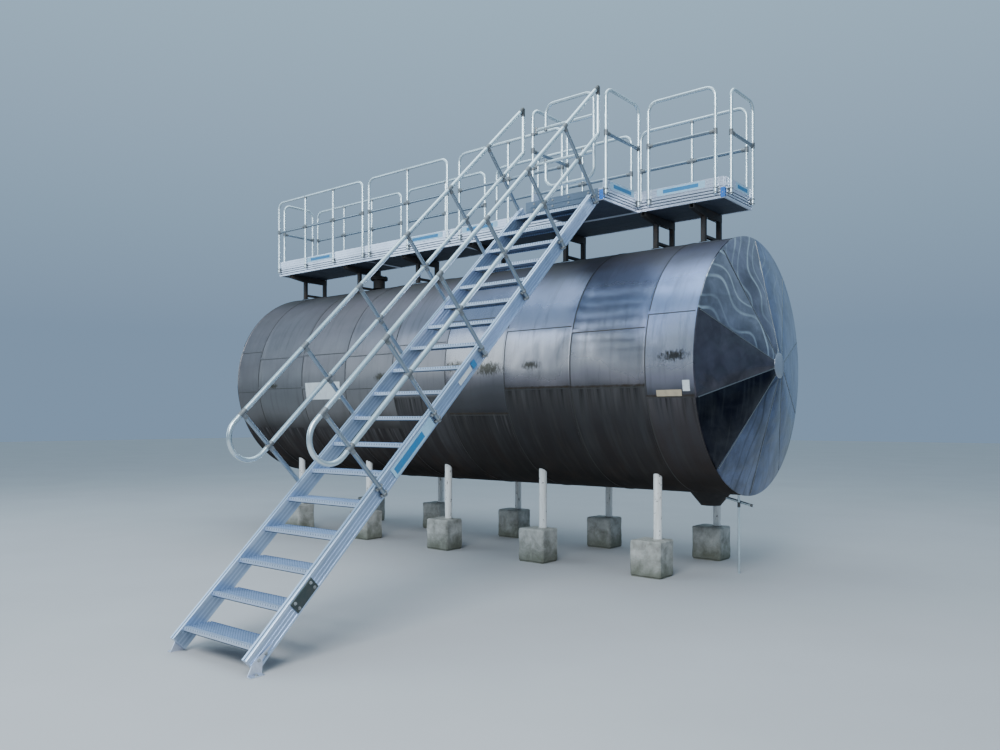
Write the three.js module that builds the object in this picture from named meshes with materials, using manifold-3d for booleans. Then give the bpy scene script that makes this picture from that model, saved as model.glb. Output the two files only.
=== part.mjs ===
// Horizontal storage tank on pipe legs, with a maintenance walkway along its crown,
// a landing with a swing gate and a straight stair down to the ground.
// Millimetres, +Z up. X runs along the tank, +Y points away from the stair.
// The origin lies on the ground, at the middle of the whole object's outline.
// Dimensions along Y are given from the axis of the tank, which lies TANK_Y away.
import * as THREE from 'three';
import { mergeVertices } from 'three/addons/utils/BufferGeometryUtils.js';
import Module from 'manifold-3d';

// Assembly gap between pieces that touch
const GAP = 0.3;

// Tank
const TANK_Y = 1996.9;
const TANK_RADIUS = 1334;
const TANK_LENGTH = 7194;
const TANK_AXIS_Z = 2152;
const SHELL_THICKNESS = 8;
const SHELL_SIDES = 96;
const END_RIM_DEPTH = 14;
const END_CONE_DEPTH = 322;
const END_CAP_RADIUS = 130;

// Legs and their concrete feet
const LEG_SPACING = 1452;
const LEG_FRONT_Y = -717;
const LEG_BACK_Y = 690;
const LEG_RADIUS = 44.5;
const FOOT_LEFT = 250;
const FOOT_RIGHT = 110;
const FOOT_DEPTH = 300;
const FOOT_HEIGHT = 382;

// Walkway deck
const DECK_BOTTOM = 3788;
const DECK_TOP = 3908;
const DECK_FRONT = -604;
const DECK_BACK = 62;
const DECK_JOINTS = [-3603, -1648, 39, 2640, 3580];
const LANDING_LEFT = 1740;
const LANDING_RIGHT = 2610;
const LANDING_FRONT = -1287.7;

// Support frames on the crown of the tank
const FRAME_X = [-3339, -2105, -926, 262, 1489, 2666, 3219];
const FRAME_WIDTH = 50;
const FRAME_POST = 50;
const FRAME_FRONT_POST_Y = -318;
const FRAME_REAR_POST_Y = 48;
const FRAME_TIP_HEIGHT = 45;
const FRAME_ROOT_HEIGHT = 80;

// Guardrails
const RAIL_RADIUS = 17.5;
const RAIL_TOP = 4897;
const RAIL_MID = 4450;
const RAIL_FOOT = 3837;
const RAIL_BEND = 100;
const TOE_TOP = 3998;
const TOE_THICKNESS = 14;
const SOCKET_WIDTH = 60;
const BACK_STANDOFF = 34;
const TUBE_SIDES = 8;
const RAIL_OFFSET = RAIL_RADIUS + GAP;

// Gate at the head of the stair
const GATE_AXIS_OFFSET = 45;
const GATE_LEFT = 1892;
const GATE_RIGHT = 2486;
const GATE_BOTTOM = 4036;
const GATE_UPPER_RAIL = 4657;
const GATE_LOWER_RAIL = 4294;
const GATE_Y = -1267;
const PIN_RADIUS = 8;
const BARREL_RADIUS = 16;
const BARREL_HEIGHT = 60;

// Stair
const STAIR_CENTRE_X = 2102;
const TREAD_COUNT = 18;
const TREAD_WIDTH = 800;
const TREAD_DEPTH = 210;
const TREAD_HEIGHT = 35;
const NOSING_LIFT = 14;
const RISE = 208;
const GOING = 219;
const HEAD_Y = -1300;
const STRINGER_WIDTH = 50;
const STRINGER_ABOVE = 16;
const STRINGER_BELOW = 109;
const HANDRAIL_RADIUS = 20;
const HANDRAIL_TOP = 735;
const HANDRAIL_MID = 395;
const HANDRAIL_START = 1605;
const HANDRAIL_END_Y = -1322;
const HANDRAIL_POST_FIRST = 1690;
const HANDRAIL_POST_PITCH = 783;

// Fittings
const NOZZLE_X = -1930;
const NOZZLE_Y = -100;
const SUMP_X = 3150;

const solids = await Module();
solids.setup();

const stainless = { color: 0x6f7377, roughness: 0.35, metalness: 1.0 };
const aluminium = { color: 0xb4bac0, roughness: 0.45, metalness: 1.0 };
const darkSteel = { color: 0x3a3c3f, roughness: 0.7, metalness: 0.6 };
const whitePaint = { color: 0xd4d8d6, roughness: 0.6, metalness: 0.1 };

const model = new THREE.Group();

function addPart(name, geometry, finish) {
  const mesh = new THREE.Mesh(geometry, new THREE.MeshStandardMaterial(finish));
  mesh.name = name;
  mesh.position.y = TANK_Y;
  model.add(mesh);
}

// Turns a closed geometry into a solid that can be joined and cut
function toSolid(geometry) {
  const bare = geometry.clone();
  bare.deleteAttribute('normal');
  bare.deleteAttribute('uv');
  const merged = mergeVertices(bare, 1e-3);
  return new solids.Manifold(new solids.Mesh({
    numProp: 3,
    vertProperties: new Float32Array(merged.attributes.position.array),
    triVerts: new Uint32Array(merged.index.array),
  }));
}

function toGeometry(solid) {
  const mesh = solid.getMesh();
  const geometry = new THREE.BufferGeometry();
  geometry.setAttribute('position', new THREE.BufferAttribute(mesh.vertProperties, 3));
  geometry.setIndex(new THREE.BufferAttribute(mesh.triVerts, 1));
  geometry.computeVertexNormals();
  return geometry;
}

function joinAll(geometries) {
  return geometries.map(toSolid).reduce((sum, solid) => sum.add(solid));
}

// Box from its lowest to its highest corner
function boxBetween(x0, x1, y0, y1, z0, z1) {
  const box = new THREE.BoxGeometry(x1 - x0, y1 - y0, z1 - z0);
  return box.translate((x0 + x1) / 2, (y0 + y1) / 2, (z0 + z1) / 2);
}

// Upright cylinder between two heights
function uprightCylinder(x, y, z0, z1, radius, sides) {
  const cylinder = new THREE.CylinderGeometry(radius, radius, z1 - z0, sides);
  return cylinder.rotateX(Math.PI / 2).translate(x, y, (z0 + z1) / 2);
}

// Plate whose outline lies in the Y-Z plane, extruded along X from x0 to x1
function plateAlongX(outline, x0, x1, holes = []) {
  const shape = new THREE.Shape(outline.map(([y, z]) => new THREE.Vector2(y, z)));
  for (const hole of holes) {
    shape.holes.push(new THREE.Path(hole.map(([y, z]) => new THREE.Vector2(y, z))));
  }
  const plate = new THREE.ExtrudeGeometry(shape, { depth: x1 - x0, bevelEnabled: false });
  const turn = new THREE.Matrix4().makeBasis(
    new THREE.Vector3(0, 1, 0),
    new THREE.Vector3(0, 0, 1),
    new THREE.Vector3(1, 0, 0),
  );
  return plate.applyMatrix4(turn).translate(x0, 0, 0);
}

// Centre line of a bent tube, which passes exactly through its points
class BentLine extends THREE.Curve {
  constructor(points) {
    super();
    this.points = points;
  }

  getPoint(u, target = new THREE.Vector3()) {
    const place = u * (this.points.length - 1);
    const index = Math.min(Math.floor(place), this.points.length - 2);
    return target.lerpVectors(this.points[index], this.points[index + 1], place - index);
  }

  getPointAt(u, target) {
    return this.getPoint(u, target);
  }

  getTangentAt(u, target = new THREE.Vector3()) {
    const index = Math.round(u * (this.points.length - 1));
    const before = this.points[Math.max(index - 1, 0)];
    const after = this.points[Math.min(index + 1, this.points.length - 1)];
    return target.subVectors(after, before).normalize();
  }
}

// Replaces each inner corner of a line by an arc of the given radius
function roundCorners(corners, radius, steps) {
  const points = [corners[0]];
  for (let i = 1; i < corners.length - 1; i += 1) {
    const back = new THREE.Vector3().subVectors(corners[i - 1], corners[i]).normalize();
    const ahead = new THREE.Vector3().subVectors(corners[i + 1], corners[i]).normalize();
    const half = back.angleTo(ahead) / 2;
    const reach = radius / Math.tan(half);
    const centre = new THREE.Vector3().addVectors(back, ahead).normalize()
      .multiplyScalar(radius / Math.sin(half)).add(corners[i]);
    const from = corners[i].clone().addScaledVector(back, reach).sub(centre);
    const to = corners[i].clone().addScaledVector(ahead, reach).sub(centre);
    const sweep = from.angleTo(to);
    for (let step = 0; step <= steps; step += 1) {
      const share = step / steps;
      const arm = from.clone().multiplyScalar(Math.sin((1 - share) * sweep) / Math.sin(sweep));
      arm.addScaledVector(to, Math.sin(share * sweep) / Math.sin(sweep));
      points.push(arm.add(centre));
    }
  }
  points.push(corners[corners.length - 1]);
  return points;
}

// Tube along a line of points, closed at both ends. Its flats touch the round
// tube of the given radius from outside.
function tubeAlong(points, radius, sides = TUBE_SIDES) {
  const section = new THREE.Shape();
  const reach = radius / Math.cos(Math.PI / sides);
  for (let i = 0; i < sides; i += 1) {
    const angle = ((i + 0.5) / sides) * 2 * Math.PI;
    const corner = [reach * Math.cos(angle), reach * Math.sin(angle)];
    if (i === 0) section.moveTo(...corner);
    else section.lineTo(...corner);
  }
  return new THREE.ExtrudeGeometry(section, {
    steps: points.length - 1,
    extrudePath: new BentLine(points),
  });
}

// Solid cylinder of the tank's own facets, grown by the assembly gap
function tankEnvelope() {
  const envelope = new THREE.CylinderGeometry(
    TANK_RADIUS + GAP,
    TANK_RADIUS + GAP,
    TANK_LENGTH + 2000,
    SHELL_SIDES,
  );
  return toSolid(envelope.rotateZ(-Math.PI / 2).translate(0, 0, TANK_AXIS_Z));
}

// Height of the faceted crown of the shell at a distance y from its axis
function crownHeight(y) {
  const step = (2 * Math.PI) / SHELL_SIDES;
  const first = Math.floor(Math.asin(y / TANK_RADIUS) / step) * step;
  const y0 = TANK_RADIUS * Math.sin(first);
  const y1 = TANK_RADIUS * Math.sin(first + step);
  const z0 = TANK_RADIUS * Math.cos(first);
  const z1 = TANK_RADIUS * Math.cos(first + step);
  return TANK_AXIS_Z + z0 + ((z1 - z0) * (y - y0)) / (y1 - y0);
}

// Rolled shell, open at both ends where the conical ends close it
function buildShell() {
  const half = TANK_LENGTH / 2;
  const inner = TANK_RADIUS - SHELL_THICKNESS;
  const profile = [
    [inner, -half],
    [TANK_RADIUS, -half],
    [TANK_RADIUS, half],
    [inner, half],
    [inner, -half],
  ].map(([r, y]) => new THREE.Vector2(r, y));
  const shell = new THREE.LatheGeometry(profile, SHELL_SIDES).rotateZ(-Math.PI / 2);
  addPart('tank_shell', shell.translate(0, 0, TANK_AXIS_Z), stainless);
}

// Shallow conical end with a short rim and a flat cap over its tip
function buildEnd(name, side) {
  const slope = (END_CONE_DEPTH - END_RIM_DEPTH) / TANK_RADIUS;
  const capLevel = END_RIM_DEPTH + slope * (TANK_RADIUS - END_CAP_RADIUS);
  const profile = [
    [0, capLevel - SHELL_THICKNESS],
    [END_CAP_RADIUS, capLevel - SHELL_THICKNESS],
    [TANK_RADIUS - SHELL_THICKNESS, 0],
    [TANK_RADIUS, 0],
    [TANK_RADIUS, END_RIM_DEPTH],
    [END_CAP_RADIUS, capLevel],
    [END_CAP_RADIUS, capLevel + 6],
    [0, capLevel + 6],
  ].map(([r, y]) => new THREE.Vector2(r, y));
  const end = new THREE.LatheGeometry(profile, SHELL_SIDES).rotateZ((-side * Math.PI) / 2);
  end.translate(side * (TANK_LENGTH / 2 + GAP), 0, TANK_AXIS_Z);
  addPart(name, end, stainless);
}

// Pipe leg, cut to the shell, on a concrete foot that reaches the ground
function buildLeg(name, x, y, envelope) {
  const pipe = toSolid(uprightCylinder(x, y, FOOT_HEIGHT - 40, TANK_AXIS_Z, LEG_RADIUS, 12));
  const foot = toSolid(boxBetween(
    x - FOOT_LEFT,
    x + FOOT_RIGHT,
    y - FOOT_DEPTH / 2,
    y + FOOT_DEPTH / 2,
    0,
    FOOT_HEIGHT,
  ));
  addPart(name, toGeometry(pipe.subtract(envelope).add(foot)), whitePaint);
}

// Welded frame: two posts on the crown, a tapered beam that reaches the front
// edge of the deck and a low tie between the posts
function buildFrame(name, x) {
  const front = FRAME_FRONT_POST_Y - FRAME_POST / 2;
  const rear = FRAME_REAR_POST_Y + FRAME_POST / 2;
  const innerFront = front + FRAME_POST;
  const innerRear = rear - FRAME_POST;
  const top = DECK_BOTTOM - GAP;
  const root = top - FRAME_ROOT_HEIGHT;
  const tieBottom = crownHeight(0) + 6;
  const foot = (y) => crownHeight(y) + GAP;
  const outline = [
    [DECK_FRONT + 4, top],
    [DECK_FRONT + 4, top - FRAME_TIP_HEIGHT],
    [front, root],
    [front, foot(front)],
    [innerFront, foot(innerFront)],
    [innerFront, tieBottom],
    [innerRear, tieBottom],
    [innerRear, foot(innerRear)],
    [rear, foot(rear)],
    [rear, top],
  ];
  const window = [
    [innerFront, tieBottom + 30],
    [innerFront, root],
    [innerRear, root],
    [innerRear, tieBottom + 30],
  ];
  const frame = plateAlongX(outline, x - FRAME_WIDTH / 2, x + FRAME_WIDTH / 2, [window]);
  addPart(name, frame, darkSteel);
}

// Deck module between two joints of the walkway
function buildDeck(name, x0, x1) {
  const deck = boxBetween(x0, x1, DECK_FRONT, DECK_BACK, DECK_BOTTOM, DECK_TOP);
  addPart(name, deck, aluminium);
}

// Guardrail run in a vertical plane. Each loop is a list of post places: the first
// and the last carry the bent tube, the others stand under the top rail. A toe
// board runs behind the posts and ties the loops together. Where the run stands
// off the deck, each post has a socket that reaches the deck.
function guardRun(loops, toeFrom, toeTo, toeSide, standoff = 0) {
  const at = (s, z) => new THREE.Vector3(s, 0, z);
  const pieces = [];
  for (const posts of loops) {
    const first = posts[0];
    const last = posts[posts.length - 1];
    const bent = roundCorners([
      at(first, RAIL_FOOT),
      at(first, RAIL_TOP),
      at(last, RAIL_TOP),
      at(last, RAIL_FOOT),
    ], RAIL_BEND, 3);
    pieces.push(tubeAlong(bent, RAIL_RADIUS));
    pieces.push(tubeAlong([at(first, RAIL_MID), at(last, RAIL_MID)], RAIL_RADIUS));
    for (const place of posts.slice(1, -1)) {
      pieces.push(tubeAlong([at(place, RAIL_FOOT), at(place, RAIL_TOP)], RAIL_RADIUS));
    }
  }
  const near = toeSide * (standoff + RAIL_OFFSET - 6);
  const far = toeSide * (standoff + RAIL_OFFSET - 6 + TOE_THICKNESS);
  if (standoff > 0) {
    for (const place of loops.flat()) {
      pieces.push(boxBetween(
        place - SOCKET_WIDTH / 2,
        place + SOCKET_WIDTH / 2,
        Math.min(0, near + toeSide * 4),
        Math.max(0, near + toeSide * 4),
        RAIL_FOOT + 3,
        TOE_TOP - 20,
      ));
    }
  }
  pieces.push(boxBetween(
    toeFrom,
    toeTo,
    Math.min(near, far),
    Math.max(near, far),
    DECK_TOP + GAP,
    TOE_TOP,
  ));
  return joinAll(pieces);
}

// Guardrail along X at the given y, with the walking side towards toeSide
function buildGuardAlongX(name, loops, toeFrom, toeTo, y, toeSide, standoff = 0) {
  const guard = toGeometry(guardRun(loops, toeFrom, toeTo, toeSide, standoff));
  addPart(name, guard.translate(0, y, 0), aluminium);
}

// Guardrail along Y at the given x. Turning the run by a quarter sends its first
// axis to +Y and its second to -X.
function guardAlongY(loops, toeFrom, toeTo, x, toeSide) {
  const guard = toGeometry(guardRun(loops, toeFrom, toeTo, -toeSide));
  return guard.rotateZ(Math.PI / 2).translate(x, 0, 0);
}

// Hinge seat of the gate: a lug on the corner post with an upright pin
function hingeSeats(x, axisX) {
  const pieces = [];
  for (const level of [GATE_UPPER_RAIL, GATE_LOWER_RAIL]) {
    const top = level - BARREL_HEIGHT / 2 - GAP;
    pieces.push(boxBetween(x, axisX + 12, GATE_Y - 12, GATE_Y + 12, top - 10, top));
    pieces.push(uprightCylinder(
      axisX,
      GATE_Y,
      top - 5,
      level + BARREL_HEIGHT / 2 + 6,
      PIN_RADIUS,
      16,
    ));
  }
  return pieces;
}

// Gate: one bent tube, open on the hinge side between the two rails that carry it
function buildGate(axisX) {
  const at = (x, z) => new THREE.Vector3(x, GATE_Y, z);
  const bent = roundCorners([
    at(GATE_LEFT, GATE_UPPER_RAIL),
    at(GATE_LEFT, RAIL_TOP),
    at(GATE_RIGHT, RAIL_TOP),
    at(GATE_RIGHT, GATE_BOTTOM),
    at(GATE_LEFT, GATE_BOTTOM),
    at(GATE_LEFT, GATE_LOWER_RAIL),
  ], RAIL_BEND, 3);
  const pieces = [tubeAlong(bent, RAIL_RADIUS)];
  const bores = [];
  for (const level of [GATE_UPPER_RAIL, GATE_LOWER_RAIL]) {
    const low = level - BARREL_HEIGHT / 2;
    const high = level + BARREL_HEIGHT / 2;
    pieces.push(tubeAlong([at(axisX + 12, level), at(GATE_RIGHT, level)], RAIL_RADIUS));
    pieces.push(uprightCylinder(axisX, GATE_Y, low, high, BARREL_RADIUS, 16));
    bores.push(uprightCylinder(axisX, GATE_Y, low - 1, high + 1, PIN_RADIUS + 0.6, 16));
  }
  const gate = joinAll(pieces).subtract(joinAll(bores));
  addPart('gate', toGeometry(gate), aluminium);
}

// Point beside the stair: t runs up along the nosing line from the ground-level
// nosing, p is the distance square to that line
const PITCH = Math.atan2(RISE, GOING);
const FOOT_Y = HEAD_Y - (TREAD_COUNT + 1) * GOING;
const FOOT_Z = DECK_TOP - (TREAD_COUNT + 1) * RISE;

function beside(t, p) {
  return [
    FOOT_Y + t * Math.cos(PITCH) - p * Math.sin(PITCH),
    FOOT_Z + t * Math.sin(PITCH) + p * Math.cos(PITCH),
  ];
}

// Distance up the nosing line at which a parallel line, p above it, reaches y
function reachY(y, p) {
  return (y - FOOT_Y + p * Math.sin(PITCH)) / Math.cos(PITCH);
}

// Distance up the nosing line at which a parallel line, p above it, reaches z
function reachZ(z, p) {
  return (z - FOOT_Z - p * Math.cos(PITCH)) / Math.sin(PITCH);
}

// Stringer with a plumb cut at the landing, a square cut at the ground and a
// bolted foot plate on its outer face
function buildStringer(name, side) {
  const inner = STAIR_CENTRE_X + side * (TREAD_WIDTH / 2);
  const outer = inner + side * STRINGER_WIDTH;
  const foot = reachZ(14, -STRINGER_BELOW);
  const outline = [
    beside(foot, -STRINGER_BELOW),
    beside(reachY(HEAD_Y - GAP, -STRINGER_BELOW), -STRINGER_BELOW),
    beside(reachY(HEAD_Y - GAP, STRINGER_ABOVE), STRINGER_ABOVE),
    beside(foot, STRINGER_ABOVE),
  ];
  const beam = plateAlongX(outline, Math.min(inner, outer), Math.max(inner, outer));
  const [toeY] = beside(foot, -STRINGER_BELOW);
  const plateOutline = [
    [toeY - 82, 0],
    [toeY + 26, 0],
    [toeY + 30, 95],
    beside(foot + 190, -62),
    beside(foot + 22, -30),
  ];
  const plateFar = outer + side * 6;
  const plate = plateAlongX(
    plateOutline,
    Math.min(outer - side, plateFar),
    Math.max(outer - side, plateFar),
  );
  const flangeFar = outer + side * 42;
  const flange = boxBetween(
    Math.min(outer + side, flangeFar),
    Math.max(outer + side, flangeFar),
    toeY - 82,
    toeY + 26,
    0,
    6,
  );
  addPart(name, toGeometry(joinAll([beam, plate, flange])), aluminium);
}

function buildTreads() {
  const half = TREAD_WIDTH / 2 - GAP;
  for (let i = 1; i <= TREAD_COUNT; i += 1) {
    const [y, z] = beside(i * Math.hypot(RISE, GOING), NOSING_LIFT);
    const tread = boxBetween(
      STAIR_CENTRE_X - half,
      STAIR_CENTRE_X + half,
      y,
      y + TREAD_DEPTH,
      z - TREAD_HEIGHT,
      z,
    );
    addPart(`stair_tread_${String(i).padStart(2, '0')}`, tread, aluminium);
  }
}

// Head plate between the stair and the front of the landing
function buildHeadPlate() {
  const half = TREAD_WIDTH / 2 + STRINGER_WIDTH;
  const plate = boxBetween(
    STAIR_CENTRE_X - half,
    STAIR_CENTRE_X + half,
    HEAD_Y,
    LANDING_FRONT - GAP,
    DECK_BOTTOM,
    DECK_TOP,
  );
  addPart('stair_head_plate', plate, aluminium);
}

// Handrail: top and middle tube joined by a round bend at the foot and by an
// upright tube at the head, on six posts square to the stringer
function buildHandrail(name, side) {
  const face = STAIR_CENTRE_X + side * (TREAD_WIDTH / 2 + STRINGER_WIDTH);
  const x = face + side * RAIL_OFFSET;
  const at = (t, p) => {
    const [y, z] = beside(t, p);
    return new THREE.Vector3(x, y, z);
  };
  const head = at(reachY(HANDRAIL_END_Y, HANDRAIL_TOP), HANDRAIL_TOP);
  const elbow = at(reachY(HANDRAIL_END_Y, HANDRAIL_MID), HANDRAIL_MID);
  const bend = (HANDRAIL_TOP - HANDRAIL_MID) / 2;
  const middle = (HANDRAIL_TOP + HANDRAIL_MID) / 2;
  const line = [head];
  for (let step = 0; step <= 8; step += 1) {
    const angle = (step / 8) * Math.PI;
    line.push(at(HANDRAIL_START - bend * Math.sin(angle), middle + bend * Math.cos(angle)));
  }
  line.push(...roundCorners([line[line.length - 1], elbow, head], 60, 3).slice(1));
  const pieces = [tubeAlong(line, HANDRAIL_RADIUS)];
  for (let i = 0; i < 6; i += 1) {
    const t = HANDRAIL_POST_FIRST + i * HANDRAIL_POST_PITCH;
    pieces.push(tubeAlong([at(t, -92), at(t, HANDRAIL_TOP)], RAIL_RADIUS));
  }
  addPart(name, toGeometry(joinAll(pieces)), aluminium);
}

// Short neck with a bolted cover on the crown, beside a support frame
function buildTopNozzle(envelope) {
  const neck = uprightCylinder(NOZZLE_X, NOZZLE_Y, 3400, 3640, 85, 20);
  const flange = uprightCylinder(NOZZLE_X, NOZZLE_Y, 3620, 3662, 125, 20);
  const cover = uprightCylinder(NOZZLE_X, NOZZLE_Y, 3655, 3686, 112, 20);
  const nozzle = joinAll([neck, flange, cover]).subtract(envelope);
  addPart('top_nozzle', toGeometry(nozzle), darkSteel);
}

// Drain under the right end: a shallow sump with a sloping outlet pipe and a
// thin standpipe down to the ground
function buildDrain(envelope) {
  const sump = new THREE.CylinderGeometry(300, 110, 200, 24).rotateX(Math.PI / 2);
  sump.translate(SUMP_X, 0, 792);
  const outlet = tubeAlong([
    new THREE.Vector3(SUMP_X + 60, 0, 812),
    new THREE.Vector3(SUMP_X + 470, 0, 711),
  ], 14);
  const standpipe = uprightCylinder(SUMP_X + 323, -22, 0, 900, 12, 8);
  const drain = joinAll([sump, outlet, standpipe]).subtract(envelope);
  addPart('drain_outlet', toGeometry(drain), darkSteel);
}

function buildModel() {
  const envelope = tankEnvelope();
  buildShell();
  buildEnd('tank_end_right', 1);
  buildEnd('tank_end_left', -1);
  for (let i = 0; i < 5; i += 1) {
    const x = (i - 2) * LEG_SPACING;
    buildLeg(`tank_leg_front_${i + 1}`, x, LEG_FRONT_Y, envelope);
    buildLeg(`tank_leg_back_${i + 1}`, x, LEG_BACK_Y, envelope);
  }
  buildTopNozzle(envelope);
  buildDrain(envelope);
  FRAME_X.forEach((x, i) => buildFrame(`support_frame_${i + 1}`, x));

  for (let i = 0; i < DECK_JOINTS.length - 1; i += 1) {
    const left = DECK_JOINTS[i] + (i === 0 ? 0 : GAP);
    buildDeck(`deck_module_${i + 1}`, left, DECK_JOINTS[i + 1]);
  }
  const landing = boxBetween(
    LANDING_LEFT,
    LANDING_RIGHT,
    LANDING_FRONT,
    DECK_FRONT - GAP,
    DECK_BOTTOM,
    DECK_TOP,
  );
  addPart('landing_deck', landing, aluminium);

  const leftEnd = DECK_JOINTS[0];
  const rightEnd = DECK_JOINTS[DECK_JOINTS.length - 1];
  const moduleOne = [-3588, -2953, -2324, -1697];
  const moduleTwo = [-1566, -821, -110];
  const frontY = DECK_FRONT - RAIL_OFFSET;
  const backY = DECK_BACK + BACK_STANDOFF + RAIL_OFFSET;
  const frontLoops = [moduleOne, moduleTwo, [95, 872, 1649]];
  const backLoops = [moduleOne, moduleTwo, [95, 767, 1438, 2110], [2238, 2875, 3500]];
  buildGuardAlongX('guard_front_left', frontLoops, leftEnd + 12, 1700, frontY, 1);
  buildGuardAlongX('guard_front_right', [[2744, 3488]], 2660, rightEnd - 12, frontY, 1);
  buildGuardAlongX(
    'guard_back',
    backLoops,
    leftEnd + 12,
    rightEnd - 12,
    backY,
    -1,
    BACK_STANDOFF,
  );

  const endLoop = [[-500, 38]];
  const endLeft = guardAlongY(endLoop, DECK_FRONT + 12, DECK_BACK - 12, leftEnd - RAIL_OFFSET, 1);
  const endRight = guardAlongY(endLoop, DECK_FRONT + 12, DECK_BACK - 12, rightEnd + RAIL_OFFSET, -1);
  addPart('guard_end_left', endLeft, aluminium);
  addPart('guard_end_right', endRight, aluminium);

  const landingLoop = [[GATE_Y, -623]];
  const cornerX = LANDING_LEFT - RAIL_OFFSET;
  const axisX = cornerX + GATE_AXIS_OFFSET;
  const sideLeft = guardAlongY(landingLoop, LANDING_FRONT + 2, -612, cornerX, 1);
  const withHinges = hingeSeats(cornerX, axisX)
    .map(toSolid)
    .reduce((sum, solid) => sum.add(solid), toSolid(sideLeft));
  addPart('guard_landing_left', toGeometry(withHinges), aluminium);
  const sideRight = guardAlongY(landingLoop, LANDING_FRONT + 2, -612, LANDING_RIGHT + RAIL_OFFSET, -1);
  addPart('guard_landing_right', sideRight, aluminium);
  buildGate(axisX);

  buildStringer('stair_stringer_left', -1);
  buildStringer('stair_stringer_right', 1);
  buildTreads();
  buildHeadPlate();
  buildHandrail('stair_handrail_left', -1);
  buildHandrail('stair_handrail_right', 1);
}

buildModel();

export default model;
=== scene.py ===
"""Horizontal storage tank with a walkway on its crown, a landing and an access stair.

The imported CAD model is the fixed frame. Every sub-assembly is a class that builds its detailed
pieces where the CAD has its plain ones, and every finish is a small frozen dataclass that makes
one procedural material. Lengths are metres. Pieces are laid out with the tank's axis at y = 0 and
moved into the shared frame when they are finished.
"""

from __future__ import annotations

import logging
import math
from dataclasses import dataclass
from enum import Enum

import bmesh
import bpy
from mathutils import Matrix, Vector, noise


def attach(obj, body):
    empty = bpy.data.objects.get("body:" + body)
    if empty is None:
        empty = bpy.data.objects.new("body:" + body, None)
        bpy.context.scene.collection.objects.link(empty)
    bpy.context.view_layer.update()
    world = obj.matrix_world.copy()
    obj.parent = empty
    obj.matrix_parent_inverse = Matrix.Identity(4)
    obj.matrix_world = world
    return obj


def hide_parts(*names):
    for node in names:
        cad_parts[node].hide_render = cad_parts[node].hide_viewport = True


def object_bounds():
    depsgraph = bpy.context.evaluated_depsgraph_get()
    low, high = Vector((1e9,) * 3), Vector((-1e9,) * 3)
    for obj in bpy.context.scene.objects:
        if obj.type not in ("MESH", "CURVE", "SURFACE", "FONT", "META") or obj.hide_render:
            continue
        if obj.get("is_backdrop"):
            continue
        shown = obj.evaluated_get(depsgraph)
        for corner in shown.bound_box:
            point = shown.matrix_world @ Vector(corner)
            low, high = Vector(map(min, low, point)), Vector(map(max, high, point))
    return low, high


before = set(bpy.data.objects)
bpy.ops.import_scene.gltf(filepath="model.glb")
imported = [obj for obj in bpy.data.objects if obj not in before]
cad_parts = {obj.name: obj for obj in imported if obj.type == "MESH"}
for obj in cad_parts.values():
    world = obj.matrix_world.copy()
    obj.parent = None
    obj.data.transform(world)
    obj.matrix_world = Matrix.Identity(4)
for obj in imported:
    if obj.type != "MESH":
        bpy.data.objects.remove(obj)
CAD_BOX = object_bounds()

LOG = logging.getLogger("tank_scene")

TANK_Y = 1.9969
GAP = 0.0003
AXIS_Z = 2.152
TANK_RADIUS = 1.334
HALF_LENGTH = 3.597
GORES = 10
GORE_START = 15
SEAMS = (-3.10, -2.12, -1.24, -0.37, 0.50, 1.37, 2.23, 3.09)
DECK_BOTTOM = 3.788
DECK_TOP = 3.908
DECK_FRONT = -0.604
DECK_BACK = 0.062
LANDING = (1.740, 2.610, -1.2877)
RAIL_RADIUS = 0.0175
RAIL_TOP = 4.897
RAIL_MID = 4.450
RAIL_FOOT = 3.837
TOE_TOP = 3.998
RAIL_OFFSET = RAIL_RADIUS + GAP
COLLAR_RADIUS = RAIL_RADIUS + 0.0035
HINGE = (1.7672, -1.267)
HINGE_LEVELS = (4.657, 4.294)
STAIR_X = 2.102
TREAD_HALF = 0.400
STRINGER_WIDTH = 0.050
RISE = 0.208
GOING = 0.219
TREADS = 18
HEAD_Y = -1.300
PITCH = math.atan2(RISE, GOING)
STAIR_FOOT = (HEAD_Y - (TREADS + 1) * GOING, DECK_TOP - (TREADS + 1) * RISE)
SLOPE = Matrix.Translation((0.0, *STAIR_FOOT)) @ Matrix.Rotation(PITCH, 4, "X")
CREASE = math.radians(32)
UP = (0, 0, 1)
HEX_HEAD = ((12, 1.35, 1.35, 0.36, 0.1), (6, 1.0, 0.96, 0.9, 0.62))
SEAT_HEIGHT = 0.0072
SEAT_GAP = 0.0002
BOLT_SIZE = 0.009
SCREW_SIZE = 0.005
DECK_SCREW_SIZE = 0.006
ROUND_HEAD = ((7, 1.0, 0.55, 0.6, 0.0),)

Mesh = bmesh.types.BMesh
Socket = bpy.types.NodeSocket
Material = bpy.types.Material
Point = tuple[float, float, float]
Pair = tuple[float, float]
Colour = tuple[float, float, float]


class Slot(Enum):
    """Material slots of the record."""

    STAINLESS = "stainless_sheet"
    ALUMINIUM = "mill_aluminium"
    STEEL = "dark_steel"
    PAINT = "white_paint"


class Run(Enum):
    """Direction that a guardrail follows."""

    ALONG_X = "X"
    ALONG_Y = "Y"


# ---- Materials ----


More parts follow.
